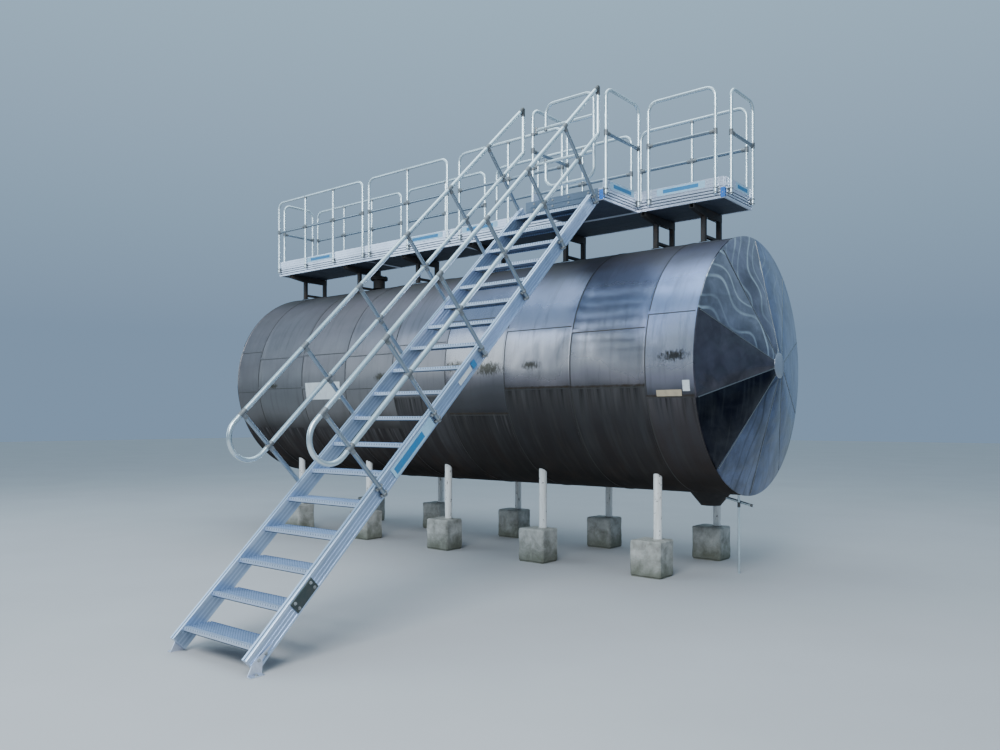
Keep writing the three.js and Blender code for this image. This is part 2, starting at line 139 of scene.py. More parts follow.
class Signal:
    """Output of a node, which sums, products and ramps are made from."""

    def __init__(self, graph: Graph, socket: Socket) -> None:
        """Wraps an output socket of a graph."""
        self.graph, self.socket = graph, socket

    def __add__(self, other: object) -> Signal:
        """Adds a number or a signal."""
        return self.graph.math("ADD", self, other)

    def __sub__(self, other: object) -> Signal:
        """Subtracts a number or a signal."""
        return self.graph.math("SUBTRACT", self, other)

    def __rsub__(self, other: object) -> Signal:
        """Subtracts the signal from a number."""
        return self.graph.math("SUBTRACT", other, self)

    def __mul__(self, other: object) -> Signal:
        """Multiplies by a number or a signal."""
        return self.graph.math("MULTIPLY", self, other)

    def __truediv__(self, other: object) -> Signal:
        """Divides by a number or a signal."""
        return self.graph.math("DIVIDE", self, other)

    def __abs__(self) -> Signal:
        """Gives the size without the sign."""
        return self.graph.math("ABSOLUTE", self)

    def fract(self) -> Signal:
        """Gives the part after the point."""
        return self.graph.math("FRACT", self)

    def ramp(self, *stops: tuple[float, object], hard: bool = False) -> Signal:
        """Turns the signal into a grey level or a colour.

        Args:
            stops: Places in rising order, with a grey level or a colour each.
            hard: Whether the steps have hard edges.

        Returns:
            The colour.
        """
        node = self.graph.new("ValToRGB")
        bar = node.color_ramp
        bar.interpolation = "CONSTANT" if hard else "LINEAR"
        while len(bar.elements) < len(stops):
            bar.elements.new(0.5)
        for element, (place, _) in zip(bar.elements, stops):
            element.position = place
        for element, (_, value) in zip(bar.elements, stops):
            grey = (value,) * 3 if isinstance(value, (int, float)) else value
            element.color = (*grey, 1.0)
        return self.graph.wire(node, {0: self})


class Graph:
    """Node tree of one material, built with short calls."""

    def __init__(self, name: str) -> None:
        """Starts a material with one shader and the piece's own coordinates.

        Args:
            name: Name of the material.
        """
        self.material = bpy.data.materials.new(name)
        self.material.use_nodes = True
        self.tree = self.material.node_tree
        self.place = self.wire(self.new("TexCoord"), {}, "Object")

    def new(self, kind: str) -> bpy.types.Node:
        """Adds a node of a kind."""
        return self.tree.nodes.new(f"ShaderNode{kind}")

    def wire(self, node: bpy.types.Node, inputs: dict[str | int, object], output: str | int = 0) -> Signal:
        """Links or sets the inputs of a node.

        Args:
            node: The node.
            inputs: Signal, number or colour of three numbers for each input.
            output: Output that is handed on.

        Returns:
            The output.
        """
        for key, value in inputs.items():
            if isinstance(value, Signal):
                self.tree.links.new(value.socket, node.inputs[key])
            elif node.inputs[key].type == "RGBA":
                node.inputs[key].default_value = (*value, 1.0)
            else:
                node.inputs[key].default_value = value
        return Signal(self, node.outputs[output])

    def stretch(self, scale: Point, shift: Point = (0, 0, 0)) -> Signal:
        """Gives the coordinates, stretched along each axis and then shifted."""
        return self.wire(self.new("Mapping"), {"Vector": self.place, "Scale": scale, "Location": shift})

    def noise(self, scale: float, detail: float = 3.0, stretch: Point | None = None,
              rough: float = 0.55, warp: float = 0.0) -> Signal:
        """Adds a noise pattern.

        Args:
            scale: Cells per metre.
            detail: Number of finer layers.
            stretch: Factor along each axis, or None.
            rough: Strength of the finer layers.
            warp: Distortion of the pattern.

        Returns:
            The pattern from 0 to 1.
        """
        place = self.stretch(stretch) if stretch else self.place
        return self.wire(self.new("TexNoise"), {"Vector": place, "Scale": scale, "Detail": detail,
                                                "Roughness": rough, "Distortion": warp}, "Fac")

    def wobble(self, value: Signal, scale: float) -> Signal:
        """Adds a smooth noise pattern along one number.

        Args:
            value: Number that the pattern follows.
            scale: Cells per unit of the number.

        Returns:
            The pattern from 0 to 1.
        """
        node = self.new("TexNoise")
        node.noise_dimensions = "1D"
        return self.wire(node, {"W": value, "Scale": scale, "Detail": 0.0}, "Fac")

    def axes(self) -> tuple[Signal, Signal, Signal]:
        """Splits the coordinates into their three numbers.

        Returns:
            The x, y and z signals.
        """
        split = self.new("SeparateXYZ")
        self.wire(split, {0: self.place})
        return tuple(Signal(self, output) for output in split.outputs)

    def math(self, operation: str, first: object, second: object = 0.0) -> Signal:
        """Combines two numbers.

        Args:
            operation: Name of the operation.
            first: First number or signal.
            second: Second number or signal.

        Returns:
            The result.
        """
        node = self.new("Math")
        node.operation = operation
        return self.wire(node, {0: first, 1: second})

    def mix(self, factor: object, first: object, second: object, blend: str = "MIX") -> Signal:
        """Blends two colours.

        Args:
            factor: Share of the second colour.
            first: First colour or signal.
            second: Second colour or signal.
            blend: Way of blending.

        Returns:
            The blended colour.
        """
        node = self.new("Mix")
        node.data_type = "RGBA"
        node.blend_type = blend
        return self.wire(node, {0: factor, 6: first, 7: second}, 2)

    def bump(self, height: Signal, distance: float, normal: Signal | None = None) -> Signal:
        """Turns a height pattern into a normal.

        Args:
            height: The pattern.
            distance: Height of the full pattern in metres.
            normal: Normal of a coarser bump below it.

        Returns:
            The normal.
        """
        below = {"Normal": normal} if normal else {}
        return self.wire(self.new("Bump"), {"Strength": 1.0, "Distance": distance, "Height": height, **below})

    def close(self, colour: Signal, roughness: object, metallic: object, normal: Signal) -> Material:
        """Feeds the shader and hands the material over.

        Args:
            colour: Base colour.
            roughness: Roughness or signal.
            metallic: Metallic share or signal.
            normal: Normal.

        Returns:
            The finished material.
        """
        self.wire(self.tree.nodes["Principled BSDF"], {
            "Base Color": colour, "Roughness": roughness, "Metallic": metallic, "Normal": normal,
        })
        return self.material


@dataclass(frozen=True)
class Finish:
    """A named surface finish."""

    name: str

    def build(self, graph: Graph) -> Material:
        """Builds the finish; each kind has its own nodes.

        Args:
            graph: The material's tree.

        Returns:
            The finished material.
        """
        raise NotImplementedError

    def material(self) -> Material:
        """Gives the material, and builds it at its first use."""
        return bpy.data.materials.get(self.name) or self.build(Graph(self.name))


@dataclass(frozen=True)
class WeatheredSheet(Finish):
    """Stainless cladding: dust on the crown, a shiny flank, lower sheets dark with soot and painted shade, and drips.
    The colour also follows the height, with painted shade low down and a painted reflection on the shiny flank.

    The tuples with nine values have one for each ring of sheets, from left to right. The lower
    sheets end at the base height plus their ring's border.
    """

    base: float = 1.5
    borders: tuple[float, ...] = (0.0, 0.0, 0.0, 0.0, 0.375, 0.174, 0.443, 0.436, 0.329)
    tones: tuple[Colour, ...] = (
        (0.88, 0.88, 0.88), (0.94, 0.96, 0.97), (1.08, 1.08, 1.08), (1.10, 1.10, 1.10), (1.04, 1.04, 1.04),
        (0.82, 0.84, 0.84), (0.82, 0.84, 0.86), (1.04, 1.08, 1.10), (1.06, 1.14, 1.24),
    )
    glooms: tuple[Colour, ...] = (
        (1.10, 1.02, 1.00), (1.00, 0.95, 0.92), (0.90, 0.88, 0.86), (0.90, 0.88, 0.86), (0.95, 0.94, 0.93),
        (1.05, 1.02, 1.00), (1.00, 0.98, 0.97), (1.00, 0.98, 0.97), (1.70, 1.55, 1.45),
    )
    dulls: tuple[float, ...] = (0.17, 0.16, 0.17, 0.14, 0.10, -0.03, -0.06, -0.07, -0.05)
    shine: tuple[float, ...] = (0.0, 0.0, 0.0, 0.05, 0.20, 0.90, 1.0, 1.0, 1.0)
    moss: tuple[Point, ...] = (
        (1.15, 2.165, 0.21), (0.68, 2.200, 0.20), (1.73, 2.180, 0.14), (3.40, 2.200, 0.16),
        (-0.55, 2.130, 0.15), (-2.75, 2.070, 0.10),
    )
    # Colour by height on the dull rings: painted shade and dirt on the lower side, brighter on the flank, darker again
    # at the crown.
    dust_and_shading: tuple[tuple[float, Colour], ...] = (
        (0.200, (0.022, 0.020, 0.019)), (0.250, (0.045, 0.040, 0.038)), (0.330, (0.165, 0.152, 0.150)),
        (0.380, (0.190, 0.180, 0.180)), (0.500, (0.172, 0.160, 0.162)), (0.590, (0.130, 0.118, 0.124)),
        (0.670, (0.162, 0.150, 0.160)), (0.750, (0.240, 0.210, 0.225)), (0.820, (0.205, 0.175, 0.190)),
        (0.885, (0.140, 0.120, 0.135)), (0.935, (0.070, 0.065, 0.074)), (0.990, (0.053, 0.047, 0.048)),
    )
    # Colour by height on the shiny rings: a painted reflection on the flank, painted shade and dirt below it, darker
    # towards the crown.
    glossy_reflection: tuple[tuple[float, Colour], ...] = (
        (0.300, (0.045, 0.042, 0.047)), (0.370, (0.075, 0.070, 0.075)), (0.415, (0.125, 0.115, 0.122)),
        (0.460, (0.290, 0.250, 0.260)), (0.510, (0.540, 0.465, 0.440)), (0.590, (0.480, 0.430, 0.440)),
        (0.665, (0.520, 0.510, 0.640)), (0.750, (0.290, 0.325, 0.470)), (0.820, (0.210, 0.235, 0.360)),
        (0.885, (0.125, 0.123, 0.172)), (0.960, (0.088, 0.082, 0.100)),
    )
    # Lower sheets: soot and painted shade, darkest at the bottom.
    soot_and_shade: tuple[tuple[float, Colour], ...] = (
        (0.00, (0.009, 0.0045, 0.003)), (0.06, (0.011, 0.007, 0.005)), (0.12, (0.029, 0.021, 0.019)),
        (0.20, (0.037, 0.030, 0.030)), (0.28, (0.045, 0.039, 0.041)), (0.34, (0.068, 0.061, 0.063)),
        (0.42, (0.110, 0.099, 0.098)),
    )

    def by_ring(self, x: Signal, values: tuple) -> Signal:
        """Gives each ring of sheets its own value.

        Args:
            x: Place along the tank.
            values: One value for each ring.

        Returns:
            The value's signal.
        """
        places = [(edge + HALF_LENGTH) / (2 * HALF_LENGTH) for edge in (-HALF_LENGTH, *SEAMS)]
        return ((x + HALF_LENGTH) / (2 * HALF_LENGTH)).ramp(*zip(places, values), hard=True)

    def build(self, graph: Graph) -> Material:
        """Builds the sheet.

        Args:
            graph: The material's tree.

        Returns:
            The finished material.
        """
        x, _, z = graph.axes()
        height = (z - (AXIS_Z - TANK_RADIUS)) / (2 * TANK_RADIUS)
        level = height + (graph.noise(1.1, 3, (1.0, 0.5, 0.5)) - 0.5) * 0.14
        shine = self.by_ring(x, self.shine)
        # The two height ramps paint shade and a reflection on the cladding.
        upper = graph.mix(shine, level.ramp(*self.dust_and_shading), level.ramp(*self.glossy_reflection))
        # Soot and painted shade on the lower sheets.
        lower = graph.mix(1.0, level.ramp(*self.soot_and_shade), self.by_ring(x, self.glooms), "MULTIPLY")
        runs = graph.noise(8.0, 5, (1.0, 0.06, 0.06), 0.62).ramp((0.44, 0.0), (0.68, 0.60))
        lower = graph.mix(runs * height.ramp((0.05, 0.0), (0.20, 1.0)), lower, (0.086, 0.082, 0.084))
        over = z - (self.by_ring(x, self.borders) + self.base)
        steel = graph.mix((over * 12.0 + 0.5).ramp((0.35, 0.0), (0.65, 1.0)), lower, upper)
        steel = graph.mix(1.0, steel, self.by_ring(x, self.tones), "MULTIPLY")
        crust = graph.noise(3.4, 6, (1.0, 0.5, 0.5), 0.68, 0.3).ramp((0.47, 0.0), (0.68, 0.62))
        steel = graph.mix(crust * height.ramp((0.04, 1.0), (0.33, 0.0)), steel, (0.058, 0.030, 0.017))
        drips = graph.noise(22.0, 3, (1.0, 0.05, 0.05), 0.55)
        under = (over * 2.2 + 1.0).ramp((0.30, 0.0), (0.97, 1.0), (1.0, 0.0))
        steel = graph.mix(drips.ramp((0.48, 0.0), (0.66, 0.85)) * under, steel, (0.014, 0.012, 0.010))
        steel = graph.mix(drips.ramp((0.32, 0.62), (0.43, 0.0)) * under, steel, (0.16, 0.15, 0.145))
        smut = over * 5.0 + graph.noise(3.2, 4, (1.0, 0.4, 0.4), 0.6) * 0.8
        smut = smut.ramp((0.34, 1.0), (0.80, 0.0)) * (shine * 0.75)
        steel = graph.mix(smut, steel, graph.mix(0.5, steel, (0.030, 0.026, 0.024)))
        rim = (abs(over) + graph.noise(19.0, 5, None, 0.7) * 0.042) * 10.0
        steel = graph.mix(rim.ramp((0.19, 1.0), (0.38, 0.0)) * (shine * 0.9), steel, (0.052, 0.037, 0.023))
        wash = graph.noise(15.0, 4, (1.0, 0.10, 0.10), 0.6).ramp((0.52, 0.0), (0.80, 0.45))
        steel = graph.mix(wash, steel, (0.075, 0.068, 0.060))
        patches = graph.noise(2.6, 3, None, 0.5, 0.3)
        dust = patches.ramp((0.35, 0.0), (0.75, 0.8)) * height.ramp((0.72, 0.0), (0.97, 1.0))
        steel = self.add_moss(graph, graph.mix(dust, steel, (0.098, 0.094, 0.090)))
        metallic = level.ramp((0.10, 0.60), (0.50, 0.88), (0.72, 0.95), (0.92, 0.55))
        rough = level.ramp((0.00, 0.85), (0.14, 0.70), (0.27, 0.42), (0.48, 0.28), (0.60, 0.19),
                           (0.80, 0.26), (0.95, 0.60))
        rough = rough + (patches - 0.5) * 0.22 + self.by_ring(x, self.dulls)
        waves = graph.bump(graph.noise(2.2, 2, (1.0, 0.8, 0.8)), 0.012)
        normal = graph.bump(graph.noise(110.0, 2, (1.0, 0.15, 0.15)), 0.0002, waves)
        return graph.close(steel, rough, metallic, normal)

    def add_moss(self, graph: Graph, steel: Signal) -> Signal:
        """Paints the brown-green growth that hangs on the front seams.

        Args:
            graph: The material's tree.
            steel: Colour below.

        Returns:
            The colour with its patches.
        """
        ragged = (graph.noise(52.0, 4, (1.0, 0.6, 0.45), 0.7, 0.3) - 0.5) * 1.9
        for x, z, size in self.moss:
            scale = (0.68 / size, 1 / size, 1.8 / size)
            centre = (x, TANK_Y - TANK_RADIUS, z)
            ball = graph.new("TexGradient")
            ball.gradient_type = "SPHERICAL"
            place = graph.stretch(scale, tuple(-c * k for c, k in zip(centre, scale)))
            spot = graph.wire(ball, {0: place}, "Fac")
            share = (spot + ragged).ramp((0.30, 0.0), (0.72, 0.90)) * spot.ramp((0.0, 0.0), (0.20, 1.0))
            steel = graph.mix(share, steel, (0.048, 0.041, 0.027))
        return steel


@dataclass(frozen=True)
class PolishedGore(Finish):
    """Mirror-bright stainless gores in rippled sheet, each with its own tone; the tones and the stripes over them are
    painted reflections.
    """

    # One tone for each gore, painted to stand for what it reflects.
    tones: tuple[Colour, ...]
    # Share of the painted reflection stripes on each gore.
    reflection_stripe_share: tuple[float, ...]

    def build(self, graph: Graph) -> Material:
        """Builds the gores.

        Args:
            graph: The material's tree.

        Returns:
            The finished material.
        """
        _, y, z = graph.axes()
        side, drop = TANK_Y - y, z - AXIS_Z
        angle = graph.math("ARCTAN2", drop, side)
        turn = ((angle + math.radians(GORE_START)) / math.tau + 1.0).fract()
        tone, reflection_stripe_mask = (
            turn.ramp(*((i / GORES, value) for i, value in enumerate(values)), hard=True)
            for values in (self.tones, self.reflection_stripe_share)
        )
        stain = graph.noise(2.4, 5, None, 0.6, 0.8)
        steel = graph.mix(stain.ramp((0.40, 0.0), (0.72, 0.55)), tone, (0.060, 0.060, 0.066))
        cloud = graph.noise(4.6, 4, None, 0.6, 0.6).ramp((0.34, 0.55), (0.66, 1.0))
        steel = graph.mix(0.8, steel, cloud, "MULTIPLY")
        gore = turn * GORES
        reach = graph.math("SQRT", side * side + drop * drop)
        across = (gore.fract() - 0.5) * reach * 0.63
        sway = graph.wobble(reach + graph.math("FLOOR", gore) * 7.3, 2.1)
        # Rippled stripes of painted reflection, pale on most upper gores and dark on the lower ones.
        reflection_stripe_phase = ((across + sway * 0.62 + graph.noise(1.6, 0) * 0.16) * 2.7).fract()
        reflection_stripes = reflection_stripe_phase.ramp((0.00, 0.0), (0.04, 1.0), (0.09, 0.9), (0.14, 0.0), (0.40, 0.0), (0.44, 0.70),
                          (0.47, 0.60), (0.51, 0.0))
        share = reflection_stripes * reflection_stripe_mask * graph.noise(2.0, 1).ramp((0.36, 0.35), (0.55, 1.0))
        reflection_stripe_colour = turn.ramp((0.0, (0.075, 0.068, 0.080)), (0.1, (0.70, 0.74, 0.76)),
                           (0.6, (0.045, 0.055, 0.080)), hard=True)
        steel = graph.mix(share, steel, reflection_stripe_colour)
        smear = graph.noise(5.0, 3, (1.0, 0.6, 2.0), 0.5, 0.6).ramp((0.50, 0.0), (0.75, 0.40))
        steel = graph.mix(smear * turn.ramp((0.0, 1.0), (0.9, 0.25), hard=True), steel, (0.15, 0.15, 0.155))
        drips = graph.noise(24.0, 3, (1.0, 1.0, 0.05), 0.5).ramp((0.55, 0.0), (0.80, 0.30))
        steel = graph.mix(drips, steel, (0.12, 0.118, 0.115))
        waves = graph.bump(graph.noise(2.8, 2, None, 0.5, 0.5), 0.010)
        return graph.close(steel, stain * 0.12 + 0.07, 0.97, graph.bump(graph.noise(180.0, 2), 0.0001, waves))


@dataclass(frozen=True)
class MillAluminium(Finish):
    """Extruded aluminium with drawing lines, dull spots and rain marks."""

    tint: Colour
    roughness: float
    lines: Point = (0.02, 1.0, 1.0)
    grime: float = 0.35
    notch: float = 0.0

    def build(self, graph: Graph) -> Material:
        """Builds the aluminium.

        Args:
            graph: The material's tree.

        Returns:
            The finished material.
        """
        drawn = graph.noise(70.0, 2, self.lines)
        dull = graph.noise(2.5, 3, None, 0.5, 0.3)
        marks = graph.noise(9.0, 5, None, 0.65, 0.5)
        dark = tuple(0.80 * value for value in self.tint)
        colour = graph.mix(drawn.ramp((0.35, 0.0), (0.70, 0.5)), self.tint, dark)
        colour = graph.mix(dull.ramp((0.48, 0.0), (0.85, self.grime)), colour, (0.20, 0.205, 0.21))
        colour = graph.mix(marks.ramp((0.60, 0.0), (0.80, 0.5 * self.grime)), colour, (0.15, 0.145, 0.14))
        normal = graph.bump(drawn, 0.00015)
        if self.notch > 0:
            tooth = graph.math("PINGPONG", graph.axes()[0] / self.notch, 0.5)
            # Painted shade in the spaces between the teeth.
            colour = graph.mix(tooth.ramp((0.13, 0.62), (0.21, 0.0)), colour, (0.120, 0.185, 0.290))
            normal = graph.bump(tooth.ramp((0.05, 0.0), (0.25, 1.0)), 0.003, normal)
        return graph.close(colour, dull * 0.18 + (self.roughness - 0.08), 0.92, normal)


@dataclass(frozen=True)
class RustySteel(Finish):
    """Dark painted steel that rusts along its edges and in patches."""

    paint: Colour
    rust: float

    def build(self, graph: Graph) -> Material:
        """Builds the steel.

        Args:
            graph: The material's tree.

        Returns:
            The finished material.
        """
        patch = graph.noise(11.0, 6, None, 0.7, 0.4)
        rust = graph.noise(60.0, 5, None, 0.7).ramp((0.30, (0.035, 0.018, 0.011)), (0.65, (0.090, 0.043, 0.022)))
        colour = graph.mix(patch.ramp((0.50, 0.0), (0.68, self.rust)), self.paint, rust)
        metallic = patch.ramp((0.40, 0.35), (0.62, 0.0))
        normal = graph.bump(graph.noise(130.0, 5, None, 0.7), 0.0012)
        return graph.close(colour, patch * 0.35 + 0.52, metallic, normal)


@dataclass(frozen=True)
class FlakedPaint(Finish):
    """White paint on pipe, flaking to grey steel and rust."""

    def build(self, graph: Graph) -> Material:
        """Builds the paint.

        Args:
            graph: The material's tree.

        Returns:
            The finished material.
        """
        share = graph.noise(22.0, 7, (1.0, 1.0, 0.6), 0.75, 0.5).ramp((0.590, 0.0), (0.620, 1.0))
        drip = graph.noise(34.0, 4, (1.0, 1.0, 0.08)).ramp((0.48, 0.0), (0.76, 0.6))
        white = graph.mix(drip, (0.88, 0.86, 0.83), (0.50, 0.45, 0.38))
        bare = graph.noise(75.0, 4).ramp((0.35, (0.17, 0.17, 0.17)), (0.68, (0.20, 0.12, 0.07)))
        normal = graph.bump(1.0 - share * 0.9, 0.0009)
        return graph.close(graph.mix(share, white, bare), share * 0.3 + 0.46, 0.05, normal)


@dataclass(frozen=True)
class RoughConcrete(Finish):
    """Weathered concrete with pits, stains and green at the bottom."""

    def build(self, graph: Graph) -> Material:
        """Builds the concrete.

        Args:
            graph: The material's tree.

        Returns:
            The finished material.
        """
        cloud = graph.noise(7.0, 7, None, 0.65, 0.3)
        colour = cloud.ramp((0.28, (0.200, 0.190, 0.165)), (0.50, (0.400, 0.385, 0.350)),
                            (0.74, (0.620, 0.600, 0.560)))
        pits = graph.wire(graph.new("TexVoronoi"), {"Vector": graph.place, "Scale": 85.0}, "Distance")
        colour = graph.mix(pits.ramp((0.05, 0.8), (0.22, 0.0)), colour, (0.085, 0.080, 0.072))
        damp = graph.axes()[2] + cloud * 0.16
        colour = graph.mix(damp.ramp((0.12, 0.75), (0.33, 0.0)), colour, (0.090, 0.095, 0.058))
        grains = graph.bump(graph.noise(210.0, 4, None, 0.7), 0.0016)
        normal = graph.bump(pits.ramp((0.04, 0.0), (0.24, 1.0)), 0.0040, grains)
        return graph.close(colour, 0.92, 0.0, normal)


@dataclass(frozen=True)
class SoiledSkin(Finish):
    """Plain skin that one pattern soils; castings, plastic and film are kinds of it."""

    tint: Colour

    def blend(self, graph: Graph, soil: Signal, stops: tuple[Pair, Pair], soiled: Colour) -> Signal:
        """Blends the clean tint into the soiled one.

        Args:
            graph: The material's tree.
            soil: Pattern of the soil.
            stops: Where the soil starts and where it is full, with its share at each.
            soiled: Colour of the soil.

        Returns:
            The colour.
        """
        return graph.mix(soil.ramp(*stops), self.tint, soiled)


@dataclass(frozen=True)
class CastGrey(SoiledSkin):
    """Cast clamps and brackets with a sandy skin."""

    def build(self, graph: Graph) -> Material:
        """Builds the casting.

        Args:
            graph: The material's tree.

        Returns:
            The finished material.
        """
        dirt = graph.noise(28.0, 4, None, 0.6)
        colour = self.blend(graph, dirt, ((0.42, 0.0), (0.72, 0.6)), (0.13, 0.12, 0.11))
        return graph.close(colour, dirt * 0.30 + 0.40, 0.75, graph.bump(graph.noise(320.0, 3), 0.0006))


@dataclass(frozen=True)
class DullPlastic(SoiledSkin):
    """Moulded plastic, faded by the sun; the strips of painted shadow in grooves and in the spaces of the nosing are
    made of it too.
    """

    def build(self, graph: Graph) -> Material:
        """Builds the plastic.

        Args:
            graph: The material's tree.

        Returns:
            The finished material.
        """
        fade = graph.noise(45.0, 4, None, 0.6)
        pale = tuple(min(1.0, value * 1.7 + 0.03) for value in self.tint)
        colour = self.blend(graph, fade, ((0.40, 0.0), (0.75, 0.6)), pale)
        return graph.close(colour, fade * 0.25 + 0.38, 0.0, graph.bump(graph.noise(380.0, 2), 0.0002))


@dataclass(frozen=True)
class ThinFilm(SoiledSkin):
    """Plain coloured film or painted plate, a little soiled."""

    def build(self, graph: Graph) -> Material:
        """Builds the film.

        Args:
            graph: The material's tree.

        Returns:
            The finished material.
        """
        soil = graph.noise(16.0, 6, (1.0, 1.0, 0.5), 0.7, 0.4)
        soiled = tuple(0.55 * value + 0.04 for value in self.tint)
        colour = self.blend(graph, soil, ((0.44, 0.0), (0.76, 0.65)), soiled)
        return graph.close(colour, soil * 0.30 + 0.34, 0.0, graph.bump(graph.noise(60.0, 3), 0.0004))


@dataclass(frozen=True)
class PaleFloor(Finish):
    """Plain pale studio floor."""

    def build(self, graph: Graph) -> Material:
        """Builds the floor's material.

        Args:
            graph: The material's tree.

        Returns:
            The finished material.
        """
        colour = graph.noise(0.6, 3).ramp((0.3, (0.45, 0.43, 0.43)), (0.7, (0.48, 0.46, 0.46)))
        return graph.close(colour, 0.85, 0.0, graph.bump(graph.noise(60.0, 3), 0.0006))


SHEET = WeatheredSheet("weathered_sheet")
STRIP = MillAluminium("seam_strip", (0.24, 0.25, 0.26), 0.36, (0.1, 1.0, 1.0), 0.45)
SEALANT = ThinFilm("seam_sealant", (0.035, 0.032, 0.028))
# Right end: pale and blue upper gores, darker blue lower ones and one near black, with stripes; all painted
# reflections.
GORE_RIGHT = PolishedGore("gores_right", (
    (0.195, 0.165, 0.190), (0.390, 0.385, 0.450), (0.32, 0.31, 0.39), (0.26, 0.31, 0.47), (0.185, 0.258, 0.430),
    (0.155, 0.222, 0.380), (0.135, 0.183, 0.350), (0.155, 0.202, 0.350), (0.190, 0.225, 0.350),
    (0.004, 0.005, 0.018),
), (0.35, 1.0, 0.8, 0.3, 0.10, 0.05, 0.15, 0.65, 0.75, 0.0))
# Left end: grey gore tones and faint stripes, painted reflections.
GORE_LEFT = PolishedGore("gores_left", (
    (0.22, 0.23, 0.25), (0.26, 0.27, 0.29), (0.20, 0.21, 0.23), (0.28, 0.29, 0.31), (0.24, 0.25, 0.27),
    (0.18, 0.19, 0.21), (0.14, 0.145, 0.155), (0.11, 0.11, 0.12), (0.12, 0.12, 0.13), (0.16, 0.165, 0.175),
), (0.1, 0.3, 0.4, 0.3, 0.1, 0.1, 0.0, 0.0, 0.1, 0.1))
ALONG_FLIGHT = (1.0, 0.03, 0.03)
ALL_ROUND = (0.03, 0.03, 0.03)
ALONG_TREAD = (0.02, 1.0, 1.0)
CAP_STEEL = MillAluminium("cap_steel", (0.56, 0.57, 0.62), 0.26, (1.0, 1.0, 0.1), 0.30)
PROFILE = MillAluminium("deck_profile", (0.76, 0.79, 0.90), 0.36)
# Dark strips that paint the shadow in grooves.
GROOVE_SHADOW_STRIP = DullPlastic("groove_shadow", (0.030, 0.032, 0.042))
# Dark steel with some rust for the deck's lower side and cross members; its darkness paints the shade under the deck.
UNDERSIDE_SHADE = RustySteel("deck_underside_shade", (0.052, 0.066, 0.095), 0.12)
TREAD = MillAluminium("tread_profile", (0.34, 0.43, 0.55), 0.46, ALONG_TREAD, 0.30)
STEP_RIBS = MillAluminium("step_ribs", (0.36, 0.47, 0.68), 0.50, ALONG_TREAD, 0.10, 0.0285)
# Darker copy of the stringer aluminium, laid in the recessed outer webs to paint their shade.
SHADED_WEB = MillAluminium("stringer_web_shade", (0.47, 0.57, 0.75), 0.40, ALONG_FLIGHT, 0.25)
NOSING = MillAluminium("nosing_lip", (0.74, 0.82, 0.95), 0.40, ALONG_TREAD, 0.10)
# Dark blue strip behind the nosing's teeth that paints the shade in the spaces between them.
GAP_SHADE = DullPlastic("nosing_gap_shade", (0.200, 0.265, 0.370))
# Darker copy of the tread aluminium for its lower side and the lower edge of the nosing, painting their shade.
TREAD_UNDER_SHADE = MillAluminium("tread_underside_shade", (0.068, 0.096, 0.145), 0.46, ALONG_TREAD, 0.30)
HEAD_SHEET = MillAluminium("head_sheet", (0.19, 0.235, 0.30), 0.42)
# Darker copy of the stringer aluminium, laid in the dips of the inner face to paint their shade.
SHADED_INNER_WEB = MillAluminium("inner_web_shade", (0.43, 0.53, 0.70), 0.42, ALONG_FLIGHT, 0.25)
STRINGER = MillAluminium("stringer_profile", (0.58, 0.69, 0.86), 0.34, ALONG_FLIGHT, 0.22)
# Shaded copy of the bright tube: the middle rails and the stair posts are painted darker to stand for their shade.
SHADED_TUBE = MillAluminium("shaded_tube", (0.31, 0.36, 0.41), 0.28, ALL_ROUND, 0.30)
BRIGHT_TUBE = MillAluminium("bright_tube", (0.70, 0.79, 0.82), 0.30, ALL_ROUND, 0.20)
CASTING = CastGrey("clamp_casting", (0.25, 0.26, 0.27))
DARK_CASTING = CastGrey("dark_casting", (0.12, 0.12, 0.12))
SPLICE = CastGrey("splice_plate", (0.070, 0.090, 0.088))
ZINC = CastGrey("zinc_bolt", (0.46, 0.47, 0.48))
FRAME_STEEL = RustySteel("frame_steel", (0.034, 0.032, 0.032), 0.60)
NOZZLE_STEEL = RustySteel("nozzle_steel", (0.022, 0.019, 0.018), 0.30)
LEG_PAINT = FlakedPaint("leg_paint")
CONCRETE = RoughConcrete("foot_concrete")
BLUE = DullPlastic("blue_plastic", (0.012, 0.120, 0.430))
WHITE_FILM = ThinFilm("white_film", (0.66, 0.68, 0.69))
BLUE_FILM = ThinFilm("blue_film", (0.030, 0.200, 0.420))
PALE_FILM = ThinFilm("pale_film", (0.36, 0.58, 0.74))
TAN_PLATE = ThinFilm("tan_plate", (0.46, 0.37, 0.25))
FLOOR = PaleFloor("studio_floor")


# ---- Shapes ----


def block(low: Point, high: Point, edge: float = 0.002) -> Mesh:
    """Makes a box with softened edges.

    Args:
        low: One corner.
        high: The corner across from it.
        edge: Width of the softened edges.

    Returns:
        The box.
    """
    mesh = bmesh.new()
    size = [abs(b - a) for a, b in zip(low, high)]
    middle = Vector([(a + b) / 2 for a, b in zip(low, high)])
    bmesh.ops.create_cube(mesh, size=1.0, matrix=Matrix.Translation(middle) @ Matrix.Diagonal((*size, 1.0)))
    if edge > 0:
        bmesh.ops.bevel(mesh, geom=mesh.edges[:], offset=min(edge, min(size) * 0.35), offset_type="OFFSET",
                        segments=1, profile=0.5, affect="EDGES", material=-1)
    return mesh


def facing(place: Point, direction: Vector) -> Matrix:
    """Gives the move to a place that also points +Z along a direction."""
    return Matrix.Translation(place) @ Vector(UP).rotation_difference(direction).to_matrix().to_4x4()


